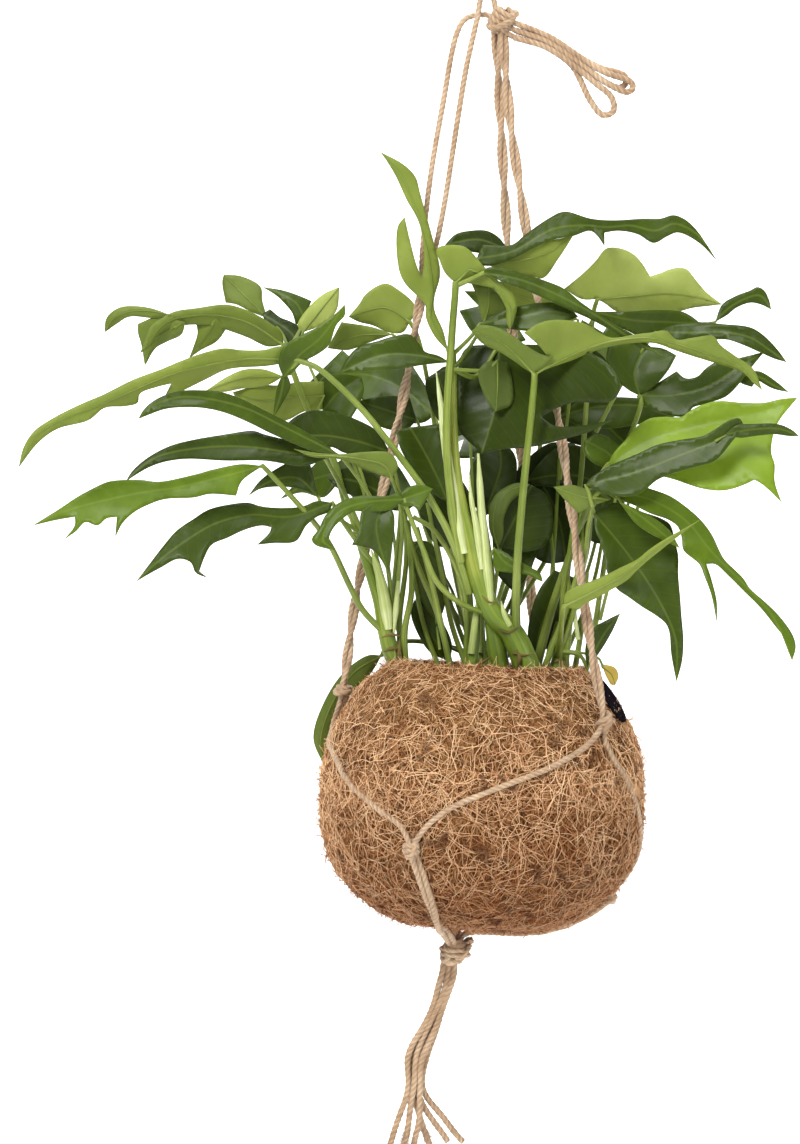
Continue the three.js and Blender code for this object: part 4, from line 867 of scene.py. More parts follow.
def outer_part(keep):
    """The corners of each outer face of the skin whose middle passes the test."""
    return [
        tuple(face.vertices) for face in skin_mesh.polygons
        if max(face.vertices) < FIRST_INNER and keep(face.center)
    ]


def part_of_skin(name, keep):
    """A part of the outer skin, for fibres to grow on."""
    return plain_object(name, mesh_of(name, [v.co for v in skin_mesh.vertices], outer_part(keep)))


SKIN = BVHTree.FromPolygons([v.co for v in skin_mesh.vertices], outer_part(lambda c: True))
taken_in(plain_object("coir_ball_skin", skin_mesh), "coir_ball")


def on_rim(centre):
    return (BALL_TO_ROOT.inverted() @ (centre / MM)).z > RIM_HEIGHT


# name, part of the skin, fibres a square metre, length, radius, lift, bend, seed, points a fibre
FIBRE_COATS = [
    ("coir_fibres_upper", lambda c: c.z > -0.462, 150000.0, 15, 0.15, 1.0, 11, 21, 5),
    ("coir_fibres_lower", lambda c: c.z < -0.440, 104000.0, 26, 0.18, 1.6, 18, 22, 6),
    ("coir_fibres_long", lambda c: c.z < -0.415, 24000.0, 44, 0.2, 2.2, 30, 23, 9),
    ("coir_fibres_rim", on_rim, 160000.0, 11, 0.12, 2.2, 9, 24, 5),
]
for coat, keep, density, length, radius, lift, bend, seed, steps in FIBRE_COATS:
    bed = part_of_skin(coat + "_bed", keep)
    fibres = grow(
        coat, bed, FIBRES, Density=density, Length=length * MM, Thickness=radius * MM, Lift=lift * MM,
        Bend=bend * MM, Seed=seed, Steps=steps, Finish=COIR_FIBRE,
    )
    taken_in(fibres)


def soil_surface():
    """The soil's top, humped and closed underneath."""
    rings = 22
    segments = 72
    places = [Vector((0, 0, SOIL_TOP))]
    for ring in range(1, rings + 1):
        for turn in range(segments):
            angle = 2 * math.pi * turn / segments
            radius = SOIL_RADIUS * ring / rings
            place = Vector((radius * math.cos(angle), radius * math.sin(angle), SOIL_TOP))
            place.z += 1.6 * noise.noise(place / 14) + 0.8 * noise.noise(place / 4)
            places.append(place)
    places.append(Vector((0, 0, SOIL_UNDERSIDE)))
    faces = turned_over(round_faces(rings, segments))
    return plain_object("soil_bed", mesh_of("soil_bed", [(BALL_TO_ROOT @ p) * MM for p in places], faces))


soil_top = grow("soil_top", soil_surface(), CRUMBS, Density=60000.0, Size=1.2 * MM, Seed=5, Finish=SOIL)
taken_in(soil_top, "potting_soil")

# The jute hanger

IN_FRONT = -120.0  # the depth from which drawn points are let down on the ball
WELL_OUTSIDE = 160.0
DOWN_REACH = 250.0
NEAR_BALL = 20.0  # only a cord nearer than this is moved out of the ball
NET_STEP = 1.5


def on_front(across, up, lift=STRAND / 2):
    """A drawn point let down on the front of the ball."""
    start = seen(across, up, IN_FRONT)
    way = (seen(across, up, 0) - start).normalized()
    place, normal, _, _ = SKIN.ray_cast(start, way, DOWN_REACH * MM)
    if place is None:
        place, normal, _, _ = SKIN.find_nearest(seen(across, up, 0))
    return place + normal * lift * MM


def on_ball(turn, height, lift=STRAND / 2):
    """A point on the ball by its turn from the right-hand side and its height, in degrees."""
    turn, height = math.radians(turn), math.radians(height)
    way = Vector((math.cos(turn) * math.cos(height), math.sin(turn) * math.cos(height), math.sin(height)))
    start = (BALL_TO_ROOT @ (way * WELL_OUTSIDE)) * MM
    place, normal, _, _ = SKIN.ray_cast(start, BALL_PLACE * MM - start)
    return place + normal * lift * MM


def hugging(points, lift):
    """A line through the points that is moved out of the ball where it would lie too deep."""
    line = []
    for place in even(curved(points, 14), NET_STEP * MM):
        near, normal, _, away = SKIN.find_nearest(place)
        height = (place - near).dot(normal)
        if away < NEAR_BALL * MM and height < lift * MM:
            place = near + normal * lift * MM
        line.append(place)
    for _ in range(3):
        line = [line[0]] + [(a + b * 2 + c) / 4 for a, b, c in zip(line, line[1:], line[2:])] + [line[-1]]
    return line


LEFT_KNOT = Vector((-82, 0, -397)) * MM
RIGHT_KNOT = on_front(63.8, -27, 4.5)
BACK_KNOT = on_ball(66, 40, 4.5)
FRONT_LOW_KNOT = on_front(-41.6, -96, 4.2)
RIGHT_LOW_KNOT = on_ball(4, -35, 4.2)
BACK_LOW_KNOT = on_ball(120, -35, 4.2)
BOTTOM_KNOT = seen(-18, -154, -3)
TOP_KNOT = Vector((7, 0, -16)) * MM

HANDLE = [
    (5, 0, -9), (4, 0, -4), (2.8, 0, -0.4), (0, 0, 1.5), (-2.8, 0, -0.4), (-4, 0, -4), (-5, -0.5, -11),
    (-12, -1, -43), (-27, 0, -134), (-36, 0, -169), (-38, 0, -178),
]
SLACK_STRAND = [
    (6, 3, -15), (0, 4.5, -12), (-12, 4, -14), (-17, 3.5, -22), (-25, 3, -62), (-32.5, 2, -106),
    (-37, 0, -150), (-37.5, 0, -172), (-39, 0, -180),
]
LEFT_LEG = [
    (-37.5, 0, -172), (-47, 0, -226), (-58, 0, -277), (-67, 0, -310), (-74, 0, -340), (-82, 0, -396),
]
RIGHT_LEG = [(9, -1, -22), (13, -9, -70), (22.8, -18, -137), (41.6, -33, -248), (58.7, -52, -368)]
BACK_LEG = [(5, 1, -20), (11.4, 20, -140), (18, 44, -250), (26, 66, -360)]


def rooted(points):
    return [at_root(*point) for point in points]


NET_STRANDS = [
    [LEFT_KNOT, seen(-83.5, -13, 0), on_front(-87.5, -30), on_front(-84, -47), on_front(-77, -60),
     on_front(-62, -73.5), on_front(-48, -85), FRONT_LOW_KNOT],
    [RIGHT_KNOT, on_front(57, -38), on_front(36.5, -51), on_front(18, -58), on_front(1.7, -64.4),
     on_front(-21.7, -75), on_front(-35, -86), FRONT_LOW_KNOT],
    [RIGHT_KNOT, on_front(65.5, -34), on_front(71, -47), on_front(78, -58), on_front(82, -68),
     on_ball(-15, -5), on_ball(-6, -18), RIGHT_LOW_KNOT],
    [BACK_KNOT, on_ball(60, 30), on_ball(48, 15), on_ball(34, 0), on_ball(20, -14), RIGHT_LOW_KNOT],
    [BACK_KNOT, on_ball(72, 30), on_ball(84, 15), on_ball(96, 0), on_ball(108, -16), BACK_LOW_KNOT],
    [LEFT_KNOT, on_ball(178, 34), on_ball(168, 22), on_ball(154, 8), on_ball(140, -8),
     on_ball(128, -22), BACK_LOW_KNOT],
]
PAIR_LIFT = 3.0
STUB_STEP = 1.0
NET_PAIRS = [
    [FRONT_LOW_KNOT, on_front(-37, -110, PAIR_LIFT), on_front(-30, -130, PAIR_LIFT),
     seen(-22, -148, -14), BOTTOM_KNOT],
    [RIGHT_LOW_KNOT] + [on_ball(3 - k, -44 - 11 * k, PAIR_LIFT) for k in range(4)]
    + [BOTTOM_KNOT + Vector((5, 3, 8)) * MM, BOTTOM_KNOT],
    [BACK_LOW_KNOT, on_ball(121, -46, PAIR_LIFT), on_ball(123, -58, PAIR_LIFT),
     on_ball(128, -70, PAIR_LIFT), BOTTOM_KNOT + Vector((2, 8, 6)) * MM, BOTTOM_KNOT],
]


def wraps(place, width, height, turns, lean=0.0, spin=0.0, depth=0.9, roll=0.0):
    """A strand wound round a knot: a slanted coil as wide and high as the knot."""
    radius = (width - STRAND) / 2
    rise = height - STRAND
    steps = max(12, round(turns * 16))
    tip = Matrix.Rotation(math.radians(lean), 3, "Y") @ Matrix.Rotation(math.radians(roll), 3, "X")
    line = []
    for i in range(steps + 1):
        t = i / steps
        angle = 2 * math.pi * turns * t + math.radians(spin)
        squeeze = radius * (0.66 + 0.34 * math.sin(math.pi * t)) * (1 + 0.07 * math.sin(2.3 * angle))
        local = Vector((squeeze * math.cos(angle), depth * squeeze * math.sin(angle), rise * (t - 0.5)))
        line.append(place + tip @ local * MM)
    return line


def crossing(place, width, height, lean):
    """One turn of strand over a knot from top to bottom."""
    line = []
    tip = Matrix.Rotation(math.radians(lean), 3, "Y")
    for i in range(19):
        angle = 2 * math.pi * i / 18 * 0.94
        local = Vector((
            (width / 2 - 1.2) * math.cos(angle), (width / 2 - 0.4) * math.sin(angle) * 0.9,
            (height / 2 - 1.0) * math.sin(angle + 0.9) * 0.9,
        ))
        line.append(place + tip @ local * MM)
    return line


def hanger_lines():
    lines = [
        even(curved([TOP_KNOT] + rooted(HANDLE), 12), NET_STEP * MM),
        even(curved(rooted(SLACK_STRAND), 12), NET_STEP * MM),
    ]
    legs = [
        (rooted(LEFT_LEG), 4.5, 3.0), (rooted(RIGHT_LEG) + [RIGHT_KNOT], 6.0, 3.0),
        (rooted(BACK_LEG) + [on_ball(66, 46, 4), BACK_KNOT], 6.0, 3.0),
    ]
    for points, turns, apart in legs:
        lines += twined(hugging(points, PAIR_LIFT), turns, apart)
    lines += [hugging(points, 1.2) for points in NET_STRANDS]
    for points in NET_PAIRS:
        lines += twined(hugging(points, PAIR_LIFT), 0.7, 3.0)
    lines += [
        wraps(TOP_KNOT + Vector((1, 0, 0.5)) * MM, 15, 17.5, 5.2, 34, 40, 0.9, 22),
        crossing(TOP_KNOT + Vector((2.5, -1.5, 1)) * MM, 13, 18, 24),
        wraps(LEFT_KNOT, 9.5, 8, 2.1, 18, 10), crossing(LEFT_KNOT, 9, 9, 30),
        wraps(RIGHT_KNOT, 11, 8, 2.1, -22, 60), crossing(RIGHT_KNOT, 11, 10, -35),
        wraps(BACK_KNOT, 10, 8, 2.1, 20, 110), crossing(BACK_KNOT, 9, 9, 25),
        wraps(FRONT_LOW_KNOT, 10, 9, 2.2, 12, 30), crossing(FRONT_LOW_KNOT, 9, 10, -20),
        wraps(RIGHT_LOW_KNOT, 9.5, 8, 2.1, 18, 70), crossing(RIGHT_LOW_KNOT, 9, 9, 25),
        wraps(BACK_LOW_KNOT, 9.5, 8, 2.1, -18, 15), crossing(BACK_LOW_KNOT, 9, 9, -25),
        wraps(BOTTOM_KNOT + Vector((-0.5, 0, -2)) * MM, 18, 9.5, 2.3, 8, 20),
        wraps(BOTTOM_KNOT + Vector((0, 0, 2)) * MM, 14, 7, 1.6, -12, 120),
        crossing(BOTTOM_KNOT + Vector((4.6, -1.5, 0)) * MM, 9, 15, 14),
        crossing(BOTTOM_KNOT + Vector((-5, -1.5, -1.5)) * MM, 9, 12, -16),
        crossing(BOTTOM_KNOT + Vector((0, -2.5, 1)) * MM, 9, 12, 50),
        wraps(BOTTOM_KNOT + Vector((-2.4, 0, -6.5)) * MM, 12.5, 4.5, 1.2, 8, 200),
    ]
    return lines + collars()


def collars():
    """The strand lengths between the knots and the free cords, packed side by side."""
    stubs = []
    for bight in FREE_BIGHTS.values():
        for end in (bight[0], bight[-1]):
            route = [at_root(7, end[1] * 0.6, end[2] + 3.5), at_root(12, end[1] * 0.9, end[2] + 2)]
            stubs.append(even(curved(route + [at_root(*end)], 6), STUB_STEP * MM))
    for number in range(len(TAIL_ENDS)):
        exit_place = tail_route(number)[0]
        foot = BOTTOM_KNOT.lerp(exit_place, 0.25)
        stubs.append(even([foot, BOTTOM_KNOT.lerp(exit_place, 0.6), exit_place], STUB_STEP * MM))
    return stubs


KNOT_CORES = [
    (TOP_KNOT, 11, 14), (LEFT_KNOT, 6.5, 6.5), (RIGHT_KNOT, 8, 7), (BACK_KNOT, 7, 7),
    (FRONT_LOW_KNOT, 6.5, 6.5), (RIGHT_LOW_KNOT, 6.5, 6), (BACK_LOW_KNOT, 6.5, 6), (BOTTOM_KNOT, 14, 12),
    (BOTTOM_KNOT + Vector((-3, 0, -7)) * MM, 9, 6),
]


def knot_cores():
    """The strands buried in the knots, as plain lumps under their wraps."""
    places = []
    faces = []
    rows, segments = 7, 16
    for middle, width, height in KNOT_CORES:
        faces += turned_over(round_faces(rows, segments), len(places))
        places.append(middle + Vector((0, 0, height / 2)) * MM)
        for row in range(1, rows + 1):
            polar = math.pi * row / (rows + 1)
            radius = width / 2 * math.sin(polar)
            rise = height / 2 * math.cos(polar)
            for k in range(segments):
                turn = 2 * math.pi * k / segments
                side = Vector((radius * math.cos(turn), radius * math.sin(turn), rise))
                places.append(middle + side * MM)
        places.append(middle - Vector((0, 0, height / 2)) * MM)
    mesh = mesh_of("knot_cores", places, faces, JUTE)
    # painted shade on the buried strands, a little of the twine's groove shade
    mesh.attributes.new("groove_shade", "FLOAT", "POINT").data.foreach_set("value", [0.35] * len(places))
    mesh.shade_smooth()
    return plain_object("knot_cores", mesh)


for jute_piece in (twine("jute_net_and_legs", hanger_lines(), hairs=7000.0, seed=3), knot_cores()):
    taken_in(jute_piece, "jute_hanger")

# Leaves: which side shows and how light it is (0 to 1; partly the leaf's own green, partly painted
# shade and light, so low for many leaves deep in the plant), the depth at the foot and at the tip, the
# slope across and up (and a bow), how thick the stalk is, then the drawn lines: the rib from the foot
# to the tip, the two edges in the same direction, and the stalk, which has depths, from the leaf down


def drawn(text):
    """The points of a drawn line from its text: numbers with commas, a blank between points."""
    return [tuple(float(number) for number in point.split(",")) for point in text.split()]


def leaf(side, tone, depth, lean, width=3.0, rib="", above="", below="", stem=""):
    return {
        "rib": drawn(rib), "above": drawn(above), "below": drawn(below), "depth": depth, "lean": lean,
        "look": (side, tone), "stem": drawn(stem), "width": width,
    }


SPLIT_EDGE = [(0.06, 0.5), (0.2, 0.95), (0.34, 0.5), (0.44, 1), (0.58, 0.42), (0.68, 0.82), (0.84, 0.3)]


def split_leaf(foot, tip, arch, width, depth, lean, stem):
    """A split leaf that isn't seen from the front, drawn from its foot, its tip and its width."""
    run = (tip[0] - foot[0], tip[1] - foot[1])
    span = math.hypot(*run)
    square = (-run[1] / span, run[0] / span)

    def on(t):
        return (foot[0] + run[0] * t, foot[1] + run[1] * t + 4 * arch * t * (1 - t))

    def off(t, w):
        return (on(t)[0] + square[0] * w, on(t)[1] + square[1] * w)

    rib = [on(t) for t in (0, 0.25, 0.5, 0.75, 1)]
    above = [off(t, w * width) for t, w in SPLIT_EDGE]
    below = [off(t, -w * width) for t, w in SPLIT_EDGE]
    inside = on(0.12) + (depth[0] + 0.12 * (depth[1] - depth[0]),)
    return {
        "rib": rib, "above": above, "below": below, "depth": depth, "lean": lean,
        "look": ("top", 0.35), "stem": [inside, foot + (depth[0],)] + stem, "width": 3.0,
    }


LEFT_LEAVES = [
    # upper left lobed leaf, seen from below
    leaf("under", 0.35, (4, -12), (0, -0.7), 4,
        rib="-116,190 -137,203 -160,207 -182,203 -191,194 -198,185",
        above="-117,197 -123,202 -131,207 -140,211 -149,213 -165,211 -178,209 -186,205 -192,200 "
        "-195,192",
        below="-125,189 -136,194 -147,198 -158,201 -174,201 -186,197 -192,189",
        stem="-128,198,3 -116,190,4 -111,176,4 -105,160,2 -96,140,1 -87,123,0 -80,98,-4 -72,84,-8"),
    leaf("under", 0.35, (-8, -4), (0, -0.5), 1.6,
        rib="-178,206 -190,209 -204,209 -213,205 -218,197",
        above="-192,211 -206,212 -212,210 -217,205",
        below="-188,205 -204,206 -211,202",
        stem="-172,205,-8 -182,207,-8"),
    leaf("under", 0.35, (-8, 2), (0, -0.4), 1.6,
        rib="-172,203 -182,198 -191,191 -195,178",
        above="-188,206 -199,202 -199,197 -197,190",
        below="-174,196 -182,192 -189,188",
        stem="-168,206,-8 -178,200,-6"),
    leaf("under", 0.35, (-3, 8), (0, -0.4), 1.6,
        rib="-154,205 -160,195 -170,182",
        above="-166,203 -165,197 -167,190",
        below="-148,200 -154,192 -163,187",
        stem="-150,207,-3 -157,201,-1"),
    # the two pointed lobes behind it
    leaf("under", 0.25, (36, 44), (0.2, 0.5), 2,
        rib="-125,205 -138,218 -150,230",
        above="-128,215 -129,223 -140,229",
        below="-135,209 -143,213 -149,214 -151,226",
        stem="-127,207,36 -118,198,26 -114,190,5"),
    leaf("top", 0.4, (30, 36), (0, 0.4), 2,
        rib="-104,205 -109,214 -118,219 -128,223",
        above="-100,215 -107,218 -116,221",
        below="-109,201 -111,208 -114,212 -120,218",
        stem="-106,208,30 -108,196,20 -113,188,5"),
    # pale lobes under the long leaf
    leaf("under", 0.8, (2, -4), (0, -0.5), 2,
        rib="-116,172 -138,171 -160,164",
        above="-127,176 -138,176 -148,172",
        below="-125,167 -140,165 -151,163",
        stem="-118,172,2 -110,174,3"),
    leaf("under", 0.6, (10, 4), (0, -0.5), 2,
        rib="-93,161 -114,160 -130,158 -145,163",
        above="-93,169 -106,169 -118,167 -130,167",
        below="-94,153 -104,152 -114,147 -120,147 -129,145 -140,154",
        stem="-104,161,9 -97,150,5 -93,135,1"),
    # second long leaf, seen from above
    leaf("top", 0.12, (-35, -58), (0, 0.6),
        rib="-92,125 -115,129 -140,132 -165,131 -187,126.5 -197,120 -206,112",
        above="-97,130 -115,136 -127,139 -133,141 -149,139 -167,136 -179,133 -188,129 -197,123 -203,117",
        below="-104,121 -127,124 -149,124 -172,125 -185,123 -193,120 -200,116",
        stem="-96,126,-36 -88,118,-28 -82,107,-18 -71,82,-8"),
    # lower left leaf with three points
    leaf("top", 0.6, (-55, -84), (0, 0.5), 3.6,
        rib="-128,121 -150,115 -175,109 -195,106 -215,102 -238,96 -259,87",
        above="-140,122 -156,119 -167,116 -187,112 -197,113 -207,113 -216,112 -225,108 -234,103 -243,97",
        below="-140,112 -143,104 -158,105 -167,103 -184,102 -195,98 -202,94 -208,88 -212,80 -211,92 "
        "-217,91 -222,87 -229,89 -234,84 -241,79 -235,87 -235,92 -246,90",
        stem="-133,120,-56 -125,118,-52 -112,104,-45 -98,88,-35 -89,75,-27 -78,52,-18 -71,39,-13 "
        "-57,24,-7 -47,12,-6"),
    leaf("top", 0.2, (-28, -36), (0, 0.4), 2.4,
        rib="-96,103 -108,114 -124,112 -136,104",
        above="-99,115 -101,123 -110,124 -119,120 -129,113",
        below="-104,107 -114,109 -129,108",
        stem="-101,108,-29 -94,98,-24 -71,82,-8"),
    # low dark leaf with a hooked lobe
    leaf("top", 0.25, (-36, -72), (0, 0.6),
        rib="-88,100 -112,92 -135,93 -155,88 -172,78 -188,66 -200,55",
        above="-97,101 -105,98 -117,97 -129,98 -136,100 -147,99 -159,96 -167,91 -177,84 -184,76 -191,67",
        below="-90,95 -97,92 -103,87 -109,78 -122,77 -131,76 -124,83 -123,86 -128,87 -137,85 -148,80 "
        "-157,76 -161,69 -164,61 -159,57 -166,60 -169,66 -176,68 -186,63 -195,58",
        stem="-95,98,-36 -84,92,-26 -64,64,-8"),
    # long narrow leaf with a pale midrib, above the second long leaf
    leaf("top", 0.3, (-40, -58), (0, 0.6), 2.6,
        rib="-83.2,126.6 -100.9,135.7 -118,144.3 -135.1,152.8 -155.1,158.5 -175,160.2 -191,155.1 "
        "-198.9,147.7",
        above="-94.1,134.6 -111.2,144.8 -126,152.2 -139.7,159.1 -151.1,163.1 -163.6,164.2 -176.1,163.6 "
        "-187.5,159.6 -195,153.9",
        below="-90.6,126 -106.6,132.3 -123.7,139.7 -135.1,145.4 -148.8,151.1 -160.8,153.9 -172.2,154.5 "
        "-183.6,153.4 -193.2,150",
        stem="-89.5,128.9,-40 -83.2,126.6,-39 -65.6,101.5,-28 -57.6,69.6,-14 -54.2,44.5,-8"),
    # big dark leaf behind it
    leaf("top", 0.08, (2, -6), (0, 0.3), 2.4,
        rib="-55.3,128.9 -72.4,134.6 -89.5,138 -106.6,139.1 -114.6,144.8",
        above="-62.7,140.8 -73.5,147.1 -83.2,150.5 -98.6,152.8 -107.7,150",
        below="-66.7,127.7 -81,128.3 -88.4,131.7 -96.3,130.6 -110,132.3",
        stem="-61,130.6,1 -55.3,128.9,2 -49.6,101.5,4 -51.9,67.3,2 -55.3,33.1,-2"),
    # pale pointed leaf with a thin hooked tip
    leaf("under", 0.3, (-40, -48), (0, -0.4), 2.6,
        rib="-54.2,113.5 -58.2,120.9 -72.4,124.9 -86.7,126.6 -100.9,127.2 -110,130.6",
        above="-50.7,120.9 -55.3,128.3 -69.6,128.9 -83.2,127.7 -96.3,128.3",
        below="-62.7,116.3 -71.3,119.7 -77.5,122.6 -87.2,125.4 -99.8,126",
        stem="-56.4,117.5,-40 -54.2,113.5,-40 -50.7,104.4,-34 -48.5,84.4,-22 -50.7,55.9,-12"),
    # dark piece between the upper lobes
    leaf("top", 0.05, (26, 32), (0, 0.3), 2,
        rib="-106,188.7 -112.3,197.3 -120.3,203 -128.3,207.5",
        above="-104.9,198.4 -111.2,203 -118,205.8 -123.7,210.4",
        below="-111.2,189.3 -116.9,192.7 -123.7,197.8",
        stem="-108.9,192.7,26 -106,188.7,26 -92.4,158.5,16 -72.4,118.6,4 -58.2,67.3,-2"),
    # mid green leaf below the pale lobes
    leaf("top", 0.35, (12, 16), (0, 0.3), 2,
        rib="-93.5,152.2 -86.7,160.8 -78.1,167.6 -71.3,171.6",
        above="-96.3,161.4 -93.5,171.6 -81.5,173.3",
        below="-78.1,147.1 -73,155.7 -70.1,164.2",
        stem="-90.6,156.2,12 -93.5,152.2,12 -77,124.3,6 -62.1,78.7,-2"),
    # dark leaf under the left leg
    leaf("top", 0.05, (10, 6), (0, 0.3), 2,
        rib="-56.4,101.5 -65.6,108.3 -78.1,112.9 -91.8,114",
        above="-54.2,109.5 -65.6,116.3 -78.1,119.7 -86.1,118.6",
        below="-62.1,100.4 -72.4,102.6 -83.8,107.2",
        stem="-61,104.9,10 -56.4,101.5,10 -51.9,67.3,4 -54.2,33.1,-2"),
]

